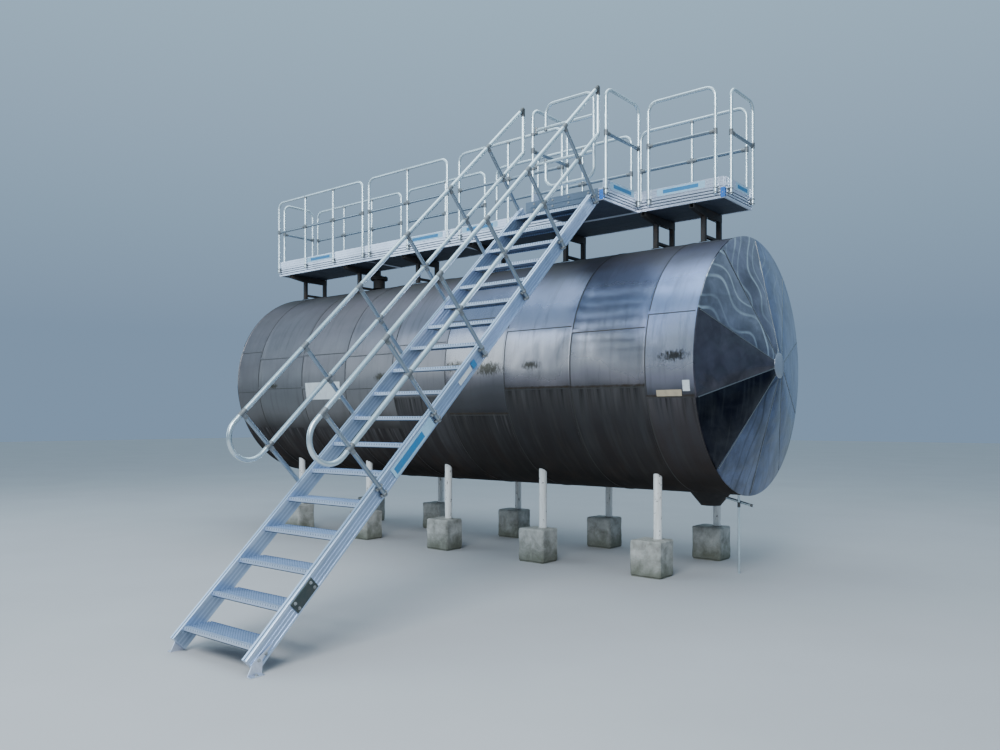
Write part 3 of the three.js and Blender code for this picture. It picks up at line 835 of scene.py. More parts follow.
def drum(start: Point, end: Point, radius: float, sides: int = 20, edge: float = 0.002) -> Mesh:
    """Makes a closed round bar with softened rims.

    Args:
        start: Centre of the first end.
        end: Centre of the second end.
        radius: Its radius.
        sides: Number of sides.
        edge: Width of the softened rims.

    Returns:
        The bar.
    """
    first, last = Vector(start), Vector(end)
    mesh = bmesh.new()
    bmesh.ops.create_cone(mesh, cap_ends=True, cap_tris=False, segments=sides, radius1=radius, radius2=radius,
                          depth=(last - first).length, matrix=facing((first + last) / 2, last - first))
    if edge > 0:
        rims = [e for e in mesh.edges if any(len(f.verts) > 4 for f in e.link_faces)]
        bmesh.ops.bevel(mesh, geom=rims, offset=edge, offset_type="OFFSET", segments=1,
                        profile=0.5, affect="EDGES", material=-1)
    return mesh


def bolt(place: Point, axis: Point, size: float = 0.010, layers: tuple = HEX_HEAD) -> Mesh:
    """Makes the head of a bolt or screw from short cones.

    Args:
        place: Point on the surface below.
        axis: Direction away from the surface.
        size: Radius of the head.
        layers: Sides, two radii, depth and middle of each cone, in sizes of the head.

    Returns:
        The head.
    """
    mesh = bmesh.new()
    root = facing(place, Vector(axis))
    for sides, low, high, depth, middle in layers:
        bmesh.ops.create_cone(mesh, cap_ends=True, segments=sides, radius1=size * low, radius2=size * high,
                              depth=size * depth, matrix=root @ Matrix.Translation((0, 0, size * middle)))
    return mesh


def screw(place: Point, axis: Point, size: float) -> Mesh:
    """Makes a small round screw head."""
    return bolt(place, axis, size, ROUND_HEAD)


def tube(path: list[Point], radius: float = RAIL_RADIUS, bend: float = 0.1, steps: int = 8) -> Mesh:
    """Makes a round tube that runs straight between bends of one radius.

    Args:
        path: Corners of the centre line with its two ends.
        radius: Outer radius of the tube.
        bend: Radius of the bends on the centre line.
        steps: Number of steps in a bend.

    Returns:
        The closed tube.
    """
    mesh = bmesh.new()
    points = [Vector(p) for p in path]
    ahead = (points[1] - points[0]).normalized()
    bmesh.ops.create_circle(mesh, cap_ends=True, segments=20, radius=radius, matrix=facing(points[0], ahead))
    ring = list(mesh.edges)
    place = points[0]
    for i in range(1, len(points)):
        last = i == len(points) - 1
        following = ahead if last else (points[i + 1] - points[i]).normalized()
        angle = 0.0 if last else ahead.angle(following)
        stop = points[i] - ahead * (bend * math.tan(angle / 2))
        grown = bmesh.ops.extrude_edge_only(mesh, edges=ring)["geom"]
        verts = [v for v in grown if isinstance(v, bmesh.types.BMVert)]
        fresh = set(verts)
        bmesh.ops.translate(mesh, verts=verts, vec=stop - place)
        ring = [e for e in grown if isinstance(e, bmesh.types.BMEdge) and set(e.verts) <= fresh]
        if last:
            break
        axis = ahead.cross(following).normalized()
        centre = stop + axis.cross(ahead) * bend
        swept = bmesh.ops.spin(mesh, geom=verts + ring, cent=centre, axis=axis, angle=angle,
                               steps=steps, use_duplicate=False)["geom_last"]
        ring = [e for e in swept if isinstance(e, bmesh.types.BMEdge)]
        place = points[i] + following * (bend * math.tan(angle / 2))
        ahead = following
    bmesh.ops.contextual_create(mesh, geom=ring)
    return mesh


def outlined(outline: list[Pair], start: float, end: float, axis: str = "X") -> Mesh:
    """Makes an extruded profile.

    Args:
        outline: Corners of the section, in the order of the two other axes.
        start: Where the profile starts along its axis.
        end: Where it ends.
        axis: Axis that it runs along.

    Returns:
        The closed profile.
    """
    mesh = bmesh.new()
    at = "XYZ".index(axis)
    face = mesh.faces.new([mesh.verts.new((*spot[:at], start, *spot[at:])) for spot in outline])
    grown = bmesh.ops.extrude_face_region(mesh, geom=[face])["geom"]
    step = Vector((0, 0, 0))
    step[at] = end - start
    bmesh.ops.translate(mesh, verts=[v for v in grown if isinstance(v, bmesh.types.BMVert)], vec=step)
    return mesh


def turned(profile: list[Pair], centre: Point, axis: Point, steps: int, closed: bool = True) -> Mesh:
    """Spins a profile about an axis.

    Args:
        profile: Pairs of place along the axis and radius.
        centre: Point on the axis.
        axis: Direction of the axis.
        steps: Number of steps round.
        closed: Whether the last point joins the first.

    Returns:
        The turned body.
    """
    mesh = bmesh.new()
    direction = Vector(axis).normalized()
    across = Vector(UP) if abs(direction.z) < 0.5 else Vector((1, 0, 0))
    verts = [mesh.verts.new(Vector(centre) + direction * a + across * r) for a, r in profile]
    edges = [mesh.edges.new(pair) for pair in zip(verts, verts[1:])]
    if closed:
        edges.append(mesh.edges.new((verts[-1], verts[0])))
    bmesh.ops.spin(mesh, geom=verts + edges, cent=centre, axis=direction, angle=math.tau,
                   steps=steps, use_merge=True)
    bmesh.ops.remove_doubles(mesh, verts=mesh.verts[:], dist=1e-5)
    return mesh


def grooved(low: float, high: float, face: float, depth: float, count: int) -> list[Pair]:
    """Lists the corners of a face with grooves, from its low edge to its high one.

    Args:
        low: Low edge of the face.
        high: High edge of the face.
        face: Level of the face.
        depth: Depth of the grooves, signed towards the material.
        count: Number of grooves.

    Returns:
        Pairs of level and height.
    """
    corners = [(face, low)]
    for i in range(1, count + 1):
        middle = low + (high - low) / (count + 1) * i
        corners += [(face, middle - 0.0058), (face + depth, middle - 0.0042),
                    (face + depth, middle + 0.0042), (face, middle + 0.0058)]
    return corners + [(face, high)]


def on_shell(y: float, radius: float = TANK_RADIUS) -> float:
    """Gives how far above or below the tank's axis its round lies at a distance y."""
    return math.sqrt(radius**2 - y**2)


def lifted(angle: float) -> Matrix:
    """Gives the turn about the tank's axis that lifts its front side by an angle in degrees."""
    return Matrix.Translation((0, 0, AXIS_Z)) @ Matrix.Rotation(-math.radians(angle), 4, "X")


class Piece:
    """One object of the scene, put together from closed shapes."""

    def __init__(self, name: str, body: str = "plant", turn: Matrix | None = None) -> None:
        """Starts an empty piece.

        Args:
            name: Name of the object.
            body: CAD body that it rides on.
            turn: Turn and shift of its shapes, or None.
        """
        self.name = name
        self.body = body
        self.turn = turn
        self.mesh = bmesh.new()
        self.finishes: list[Finish] = []

    def add(self, part: Mesh, finish: Finish, turn: Matrix | None = None) -> None:
        """Puts a shape into the piece.

        Args:
            part: The shape, which is used up.
            finish: Its finish.
            turn: Turn and shift of the shape, or None for the piece's own.
        """
        if finish not in self.finishes:
            self.finishes.append(finish)
        if turn or self.turn:
            bmesh.ops.transform(part, matrix=turn or self.turn, verts=part.verts[:])
        bmesh.ops.recalc_face_normals(part, faces=part.faces[:])
        for face in part.faces:
            face.material_index = self.finishes.index(finish)
        holder = bpy.data.meshes.new("shape")
        part.to_mesh(holder)
        part.free()
        self.mesh.from_mesh(holder)
        bpy.data.meshes.remove(holder)

    def place(self, slot: Slot, node: str) -> None:
        """Finishes the piece and gives it its place in the frame.

        Args:
            slot: Material slot of the record; not used.
            node: CAD node that it stands for.
        """
        bmesh.ops.translate(self.mesh, verts=self.mesh.verts[:], vec=(0, TANK_Y, 0))
        for face in self.mesh.faces:
            face.smooth = True
        for edge in self.mesh.edges:
            if len(edge.link_faces) == 2 and edge.calc_face_angle(0.0) > CREASE:
                edge.smooth = False
        data = bpy.data.meshes.new(self.name)
        self.mesh.to_mesh(data)
        self.mesh.free()
        for finish in self.finishes:
            data.materials.append(finish.material())
        made = bpy.data.objects.new(self.name, data)
        bpy.context.scene.collection.objects.link(made)
        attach(made, self.body)
        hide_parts(node)
        LOG.info("%s: %d faces for %s", self.name, len(data.polygons), node)


# ---- Tank ----


@dataclass
class TankShell:
    """Clad shell with ring seams, lengthwise laps and bare plates.

    The laps are angles in degrees above the front side, three for each ring of sheets.
    """

    skin: float = 1.3308
    steps: int = 256
    laps: tuple[Point, ...] = (
        (19.2, -5.7, 170.0), (14.0, -4.2, 184.0), (14.4, -4.9, 176.0), (12.0, -6.0, 190.0), (16.0, -12.0, 172.0),
        (-21.0, 27.0, 186.0), (-9.0, 18.7, 178.0), (15.5, -9.3, 188.0), (21.0, -14.0, 182.0),
    )
    plates: tuple[tuple[float, float, float, float, Finish], ...] = (
        (3.205, 3.466, 1.823, 1.884, TAN_PLATE), (3.481, 3.552, 1.867, 1.970, WHITE_FILM),
        (-2.04, -1.34, 1.872, 2.097, WHITE_FILM),
    )

    def profile(self) -> list[Pair]:
        """Lists the closed section of the cladding.

        Returns:
            Pairs of place along the tank and radius.
        """
        fold = self.skin + 0.003
        corners = [(-HALF_LENGTH, fold), (-HALF_LENGTH + 0.012, fold)]
        edges = (-HALF_LENGTH + 0.016, *SEAMS, HALF_LENGTH - 0.016)
        for left, right in zip(edges, edges[1:]):
            start = left if left == edges[0] else left + 0.014
            stop = right if right == edges[-1] else right - 0.014
            count = max(2, round((stop - start) / 0.11))
            corners += [(start + (stop - start) * i / count, self.skin) for i in range(count + 1)]
            if right != edges[-1]:
                corners += [(right - 0.010, self.skin + 0.0022), (right - 0.004, fold),
                            (right + 0.003, fold), (right + 0.004, self.skin + 0.0006)]
        return corners + [(HALF_LENGTH - 0.012, fold), (HALF_LENGTH, fold),
                          (HALF_LENGTH, self.skin - 0.005), (-HALF_LENGTH, self.skin - 0.005)]

    def build(self) -> None:
        """Builds the shell, its seams, laps and plates."""
        piece = Piece("tank_cladding")
        shell = turned(self.profile(), (0, 0, AXIS_Z), (1, 0, 0), self.steps)
        for vert in shell.verts:
            away = Vector((0, vert.co.y, vert.co.z - AXIS_Z))
            if abs(away.length - self.skin) < 1e-4:
                dent = noise.noise(Vector((vert.co.x * 1.9, vert.co.y * 1.5, vert.co.z * 1.5 + 7)))
                vert.co -= away.normalized() * (0.0016 + 0.0016 * dent)
        piece.add(shell, SHEET)
        for seam in SEAMS:
            line = [(seam + 0.004, self.skin - 0.002), (seam + 0.004, self.skin + 0.0011),
                    (seam + 0.013, self.skin + 0.0008), (seam + 0.013, self.skin - 0.002)]
            piece.add(turned(line, (0, 0, AXIS_Z), (1, 0, 0), self.steps), SEALANT)
        for left, right, angles in zip((-HALF_LENGTH, *SEAMS), (*SEAMS, HALF_LENGTH), self.laps):
            for angle in angles:
                for out, back, low, high, edge, finish in (
                    (0.0022, 0.006, -0.016, 0.016, 0.001, SHEET),
                    (0.0012, 0.004, -0.0245, -0.0155, 0.0008, SEALANT),
                ):
                    lap = block((left + 0.004, -self.skin - out, low), (right - 0.015, -self.skin + back, high), edge)
                    piece.add(lap, finish, lifted(angle))
        self.add_plates(piece)
        piece.place(Slot.STAINLESS, "tank_shell")

    def add_plates(self, piece: Piece) -> None:
        """Fixes the bare plates to the front of the shell.

        Args:
            piece: Piece that gets the plates.
        """
        for x0, x1, z0, z1, finish in self.plates:
            turn = lifted(math.degrees(math.asin(((z0 + z1) / 2 - AXIS_Z) / self.skin)))
            half = (z1 - z0) / 2
            plate = block((x0, -self.skin - 0.0028, -half), (x1, -self.skin + 0.001, half), 0.001)
            tall = [e for e in plate.edges if abs((e.verts[0].co - e.verts[1].co).z) > half]
            bmesh.ops.subdivide_edges(plate, edges=tall, cuts=6)
            for vert in plate.verts:
                vert.co.y += self.skin - on_shell(vert.co.z, self.skin)
            piece.add(plate, finish, turn)
            for x in (x0 + 0.012, x1 - 0.012):
                spot = turn @ Vector((x, -self.skin - 0.0026, 0))
                piece.add(screw(spot, (0, spot.y, spot.z - AXIS_Z), 0.004), ZINC)


@dataclass
class TankEnd:
    """Shallow conical end of ten gores with a round plate over its tip."""

    side: int
    finish: Finish
    rim: float = 0.014
    depth: float = 0.322
    cap: float = 0.130
    seam: Pair = (0.135, 1.31)
    screws: int = 12
    circle: float = 0.112
    steps: int = 192

    def cone(self, radius: float) -> float:
        """Gives the depth of the cone's surface at a radius."""
        return self.rim + (self.depth - self.rim) * (TANK_RADIUS - radius) / TANK_RADIUS

    def build(self) -> None:
        """Builds the gores, their seams and the cap."""
        word = "right" if self.side > 0 else "left"
        piece = Piece(f"tank_end_gores_{word}")
        centre = (self.side * (HALF_LENGTH + GAP), 0, AXIS_Z)
        axis = (self.side, 0, 0)
        level = self.cone(self.cap)
        radii = (1.31, 1.28, *(k / 10 for k in range(12, 1, -1)), self.cap)
        section = [(0.0, TANK_RADIUS - 0.001), (self.rim - 0.002, TANK_RADIUS - 0.0002),
                   (self.rim, TANK_RADIUS - 0.004)]
        section += [(self.cone(r) - 0.002, r) for r in radii]
        section += [(level - 0.003, 0.0), (level - 0.009, 0.0), (level - 0.009, self.cap),
                    (0.004, TANK_RADIUS - 0.016), (0.0, TANK_RADIUS - 0.014)]
        shell = turned(section, centre, axis, self.steps)
        self.dent(shell)
        piece.add(shell, self.finish)
        start, stop = self.seam
        rise = self.cone(start) - self.cone(stop)
        tilt = Matrix.Rotation(math.pi - math.atan2(rise, stop - start), 4, "Y") @ Matrix.Scale(-1, 4, (1, 0, 0))
        lean = Matrix.Translation((self.cone(stop) - 0.001, 0, stop)) @ tilt
        flip = Matrix.Translation(centre) @ Matrix.Scale(self.side, 4, (1, 0, 0))
        for i in range(GORES):
            seam = block((-0.002, -0.005, 0.0), (0.0030, 0.005, math.hypot(stop - start, rise)), 0.001)
            turn = Matrix.Rotation(math.radians(90 + GORE_START - i * 360 / GORES), 4, "X")
            piece.add(seam, STRIP, flip @ turn @ lean)
        plate = [(level - 0.010, 0.0), (level - 0.010, self.cap), (level + 0.004, self.cap),
                 (level + 0.006, self.cap - 0.004), (level + 0.006, 0.0)]
        piece.add(turned(plate, centre, axis, 64, False), CAP_STEEL)
        for i in range(self.screws):
            angle = i * math.tau / self.screws
            across, up = self.circle * math.sin(angle), self.circle * math.cos(angle)
            piece.add(screw((centre[0] + self.side * (level + 0.0045), across, AXIS_Z + up), axis, SCREW_SIZE), ZINC)
        piece.place(Slot.STAINLESS, f"tank_end_{word}")

    def dent(self, shell: Mesh) -> None:
        """Pillows each gore a little and makes its sheet uneven.

        Args:
            shell: The turned cone.
        """
        for vert in shell.verts:
            drop = vert.co.z - AXIS_Z
            reach = math.hypot(vert.co.y, drop)
            out = abs(vert.co.x) - HALF_LENGTH - GAP
            if 0.05 < reach < 1.30 and out > self.cone(reach) - 0.004:
                sector = (math.degrees(math.atan2(drop, -vert.co.y)) + GORE_START) * GORES / 360 % 1.0
                swell = math.sin(math.pi * min(1.0, reach / 1.31)) ** 0.7
                pillow = math.sin(math.pi * sector) ** 0.8 * 0.010 * swell
                ripple = noise.noise(Vector((vert.co.y * 2.6, vert.co.z * 2.6, 3.0 * self.side))) * 0.004
                vert.co.x += self.side * (pillow + ripple * min(1.0, reach))


@dataclass
class TankLegs:
    """Two rows of painted pipe legs on concrete feet."""

    spacing: float = 1.452
    rows: tuple[tuple[str, float], ...] = (("front", -0.717), ("back", 0.690))
    radius: float = 0.0445
    foot: tuple[float, float, float, float] = (0.250, 0.110, 0.150, 0.382)

    def build(self) -> None:
        """Builds the ten legs."""
        for row, y in self.rows:
            for i in range(5):
                self.build_leg(f"leg_{row}_{i + 1}", (i - 2) * self.spacing, y)

    def build_leg(self, name: str, x: float, y: float) -> None:
        """Builds one leg: pipe, weld ring, collar and foot.

        Args:
            name: Name of the piece.
            x: Place along the tank.
            y: Distance from the tank's axis.
        """
        piece = Piece(name)
        left, right, half, height = self.foot
        radius = self.radius
        meet = AXIS_Z - on_shell(y, TANK_RADIUS + GAP)
        pipe = drum((x, y, height - 0.03), (x, y, meet), radius - 0.0005, 32, 0)
        for vert in pipe.verts:
            if vert.co.z > height + 0.1:
                vert.co.z = AXIS_Z - on_shell(vert.co.y, TANK_RADIUS + GAP)
        piece.add(pipe, LEG_PAINT)
        weld = [(-0.004, radius - 0.002), (-0.003, radius), (0.0, radius + 0.0018), (0.003, radius),
                (0.004, radius - 0.002)]
        piece.add(turned(weld, (x, y, meet - 0.130), UP, 32), LEG_PAINT)
        piece.add(drum((x, y, height - 0.01), (x, y, height + 0.006), radius + 0.010, 32, 0.003), CONCRETE)
        foot = block((x - left, y - half, 0.0), (x + right, y + half, height), 0.016)
        bmesh.ops.subdivide_edges(foot, edges=foot.edges[:], cuts=7, use_grid_fill=True)
        for vert in foot.verts:
            if vert.co.z > 0.001:
                spot = vert.co * 9.0
                inwards = Vector((x - 0.07, y, height / 2)) - vert.co
                vert.co += inwards.normalized() * (0.008 + 0.008 * noise.noise(spot) + 0.003 * noise.noise(spot * 4))
        piece.add(foot, CONCRETE)
        piece.place(Slot.PAINT, f"tank_{name}")


@dataclass
class TopNozzle:
    """Short neck on the crown with a bolted cover and a small gauge plug."""

    x: float = -1.930
    y: float = -0.100
    joint: Pair = (3.620, 3.662)
    bolts: int = 8
    circle: float = 0.104

    def build(self) -> None:
        """Builds the nozzle."""
        piece = Piece("nozzle_on_crown")
        low = AXIS_Z + on_shell(self.y) - 0.002
        bottom, top = self.joint
        neck = [(low, 0.0), (low, 0.084), (bottom + 0.002, 0.084), (bottom + 0.002, 0.0)]
        piece.add(turned(neck, (self.x, self.y, 0), UP, 40, False), NOZZLE_STEEL)
        pad = [(low, 0.084), (low + 0.012, 0.110), (low + 0.018, 0.084)]
        piece.add(turned(pad, (self.x, self.y, 0), UP, 40), NOZZLE_STEEL)
        for z0, z1, radius, sides, edge in (
            (bottom, 3.640, 0.1245, 40, 0.002), (3.6415, top, 0.1245, 40, 0.002),
            (3.661, 3.672, 0.075, 32, 0.003), (3.670, 3.685, 0.022, 6, 0.002),
        ):
            piece.add(drum((self.x, self.y, z0), (self.x, self.y, z1), radius, sides, edge), NOZZLE_STEEL)
        for i in range(self.bolts):
            angle = (i + 0.5) * math.tau / self.bolts
            x, y = self.x + self.circle * math.cos(angle), self.y + self.circle * math.sin(angle)
            piece.add(bolt((x, y, top), UP), NOZZLE_STEEL)
            piece.add(bolt((x, y, bottom), (0, 0, -1)), NOZZLE_STEEL)
        piece.place(Slot.STEEL, "top_nozzle")


@dataclass
class Drain:
    """Shallow sump under the right end with its outlet and standpipe."""

    x: float = 3.150
    pipe: Pair = (3.473, -0.022)

    def build(self) -> None:
        """Builds the drain."""
        piece = Piece("drain_with_standpipe")
        sump = [(0.692, 0.0), (0.692, 0.105), (0.700, 0.110), (0.842, 0.227), (0.842, 0.0)]
        piece.add(turned(sump, (self.x, 0, 0), UP, 48, False), NOZZLE_STEEL)
        piece.add(tube([(self.x + 0.06, 0, 0.812), (self.x + 0.469, 0, 0.7115)], 0.014), BRIGHT_TUBE)
        piece.add(drum((self.x + 0.440, 0, 0.7187), (self.x + 0.468, 0, 0.7118), 0.0148, 20, 0.001), DARK_CASTING)
        for z0, z1, radius, edge, finish in (
            (0.0, 0.895, 0.012, 0.001, BRIGHT_TUBE), (0.690, 0.745, 0.0155, 0.002, DARK_CASTING),
        ):
            piece.add(drum((*self.pipe, z0), (*self.pipe, z1), radius, 16, edge), finish)
        piece.place(Slot.STEEL, "drain_outlet")


@dataclass
class SupportFrames:
    """Welded frames on the crown that carry the walkway."""

    places: tuple[float, ...] = (-3.339, -2.105, -0.926, 0.262, 1.489, 2.666, 3.219)
    width: float = 0.050
    front: float = -0.343
    rear: float = 0.073
    tip: float = 0.045
    root: float = 0.080

    def build(self) -> None:
        """Builds the seven frames."""
        for i, x in enumerate(self.places):
            self.build_frame(i + 1, x)

    def build_frame(self, number: int, x: float) -> None:
        """Builds one frame.

        Args:
            number: Number of the frame from the left.
            x: Place along the tank.
        """
        piece = Piece(f"crown_frame_{number}")
        left, right = x - self.width / 2, x + self.width / 2
        top = DECK_BOTTOM - GAP
        nose = DECK_FRONT + 0.004
        piece.add(self.beam(left, right, nose, top), FRAME_STEEL)
        for start in (self.front, self.rear - self.width):
            stop = start + self.width
            post = block((left + 0.0008, start, AXIS_Z), (right - 0.0008, stop, top - self.root + 0.004), 0.003)
            seat = block((left - 0.012, start - 0.012, AXIS_Z), (right + 0.012, stop + 0.012, AXIS_Z + 0.1))
            for vert in [v for v in post.verts if v.co.z < AXIS_Z + 0.5] + seat.verts[:]:
                high = vert.co.z > AXIS_Z + 0.05
                vert.co.z = AXIS_Z + on_shell(vert.co.y) + (SEAT_HEIGHT if high else SEAT_GAP)
            piece.add(post, FRAME_STEEL)
            piece.add(seat, FRAME_STEEL)
        tie = AXIS_Z + TANK_RADIUS + 0.005
        near, far = self.front + self.width - 0.002, self.rear - self.width + 0.002
        piece.add(block((left + 0.004, near, tie), (right - 0.004, far, tie + 0.030), 0.003), FRAME_STEEL)
        for y in (self.front + 0.10, self.rear - 0.12):
            piece.add(bolt((x, y, top - self.root), (0, 0, -1), BOLT_SIZE), ZINC)
        piece.place(Slot.STEEL, f"support_frame_{number}")

    def beam(self, left: float, right: float, nose: float, top: float) -> Mesh:
        """Makes the tapered beam with its open nose.

        Args:
            left: Left side.
            right: Right side.
            nose: Front end.
            top: Upper side.

        Returns:
            The beam.
        """
        low = top - self.root
        section = [(nose, top), (nose, top - self.tip), (self.front, low), (self.rear, low), (self.rear, top)]
        beam = outlined(section, left, right)
        ends = [f for f in beam.faces if all(abs(v.co.y - nose) < 1e-5 for v in f.verts)]
        bmesh.ops.inset_region(beam, faces=ends, thickness=0.005, depth=0.0)
        hollow = bmesh.ops.extrude_face_region(beam, geom=ends)["geom"]
        bmesh.ops.translate(beam, verts=[v for v in hollow if isinstance(v, bmesh.types.BMVert)], vec=(0, 0.09, 0))
        bmesh.ops.delete(beam, geom=ends, context="FACES_ONLY")
        return beam


# ---- Walkway ----


@dataclass
class DeckModule:
    """Framed deck of plank profiles over cross members."""

    name: str
    node: str
    x0: float
    x1: float
    y0: float = DECK_FRONT
    y1: float = DECK_BACK
    planks: int = 4
    caps: tuple[Pair, ...] = ()
    wall: float = 0.022
    spacing: float = 0.62

    def build(self) -> None:
        """Builds the edge profiles, planks, cross members and caps."""
        piece = Piece(self.name)
        self.add_edges(piece)
        self.add_planks(piece)
        low = DECK_BOTTOM + 0.012
        count = max(2, round((self.x1 - self.x0) / self.spacing))
        for i in range(1, count):
            x = self.x0 + (self.x1 - self.x0) * i / count
            # The cross members are dark to paint the shade under the deck.
            member = block((x - 0.022, self.y0 + 0.010, low), (x + 0.022, self.y1 - 0.010, low + 0.050), 0.003)
            piece.add(member, UNDERSIDE_SHADE)
            for y, side in ((self.y0, -1), (self.y1, 1)):
                piece.add(screw((x, y - side * 0.0002, low + 0.024), (0, side, 0), DECK_SCREW_SIZE), ZINC)
        for x, y in self.caps:
            side = 1 if x > (self.x0 + self.x1) / 2 else -1
            cap = block((x, y - 0.003, DECK_BOTTOM + 0.003), (x - side * 0.048, y + 0.030, DECK_TOP - 0.014), 0.004)
            piece.add(cap, BLUE)
            piece.add(screw((x - side * 0.024, y - 0.003, DECK_BOTTOM + 0.055), (0, -1, 0), DECK_SCREW_SIZE), ZINC)
        piece.place(Slot.ALUMINIUM, self.node)

    def add_edges(self, piece: Piece) -> None:
        """Frames the deck with grooved edge profiles, with dark strips in their grooves that paint their shadow.

        Args:
            piece: Piece that gets the profiles.
        """
        low, top, wall = DECK_BOTTOM, DECK_TOP, self.wall
        levels = [low + (top - low - 0.002) / 4 * i for i in (1, 2, 3)]
        for y, side in ((self.y0, 1), (self.y1, -1)):
            lip, web = y + side * wall, y + side * 0.012
            section = [*grooved(low, top - 0.002, y, side * 0.008, 3), (y + side * 0.003, top), (lip, top),
                       (lip, top - 0.016), (web, top - 0.016), (web, low + 0.012), (lip, low + 0.012), (lip, low)]
            piece.add(outlined(section, self.x0, self.x1), PROFILE)
            for level in levels:
                piece.add(block((self.x0 + 0.001, y + side * 0.0070, level - 0.0050),
                                (self.x1 - 0.001, y + side * 0.0090, level + 0.0050), 0.0), GROOVE_SHADOW_STRIP)
        for x, side in ((self.x0, 1), (self.x1, -1)):
            lip = x + side * wall
            section = [*grooved(low + 0.001, top - 0.003, x + side * 0.0005, side * 0.008, 3),
                       (lip, top - 0.003), (lip, low + 0.001)]
            piece.add(outlined(section, self.y0 + 0.009, self.y1 - 0.009, "Y"), PROFILE)
            for level in levels:
                piece.add(block((x + side * 0.0075, self.y0 + 0.010, level - 0.0050),
                                (x + side * 0.0095, self.y1 - 0.010, level + 0.0050), 0.0), GROOVE_SHADOW_STRIP)

    def add_planks(self, piece: Piece) -> None:
        """Lays the ribbed planks of the deck and closes them below with a dark sheet that paints the shade under the
        deck.

        Args:
            piece: Piece that gets the planks.
        """
        start, stop = self.y0 + self.wall - 0.006, self.y1 - self.wall + 0.006
        width = (stop - start) / self.planks
        low, skirt, sheet = DECK_TOP - 0.004, DECK_TOP - 0.030, DECK_BOTTOM + 0.005
        for i in range(self.planks):
            a, b = start + width * i + 0.0015, start + width * (i + 1) - 0.0015
            ribs = round((b - a) / 0.017)
            section = [(a, skirt), (a, low)]
            for k in range(ribs):
                step = (b - a) / ribs
                left = a + (b - a) * k / ribs
                section += [(left + step * share, low if share in (0.30, 0.70) else DECK_TOP - 0.0008)
                            for share in (0.30, 0.38, 0.62, 0.70)]
            section += [(b, low), (b, skirt), (b - 0.004, skirt - 0.004), (a + 0.004, skirt - 0.004)]
            base = [(a, sheet), (b, sheet), (b, sheet + 0.006), (a, sheet + 0.006)]
            for outline, finish in ((section, TREAD), (base, UNDERSIDE_SHADE)):
                piece.add(outlined(outline, self.x0 + 0.020, self.x1 - 0.020), finish)


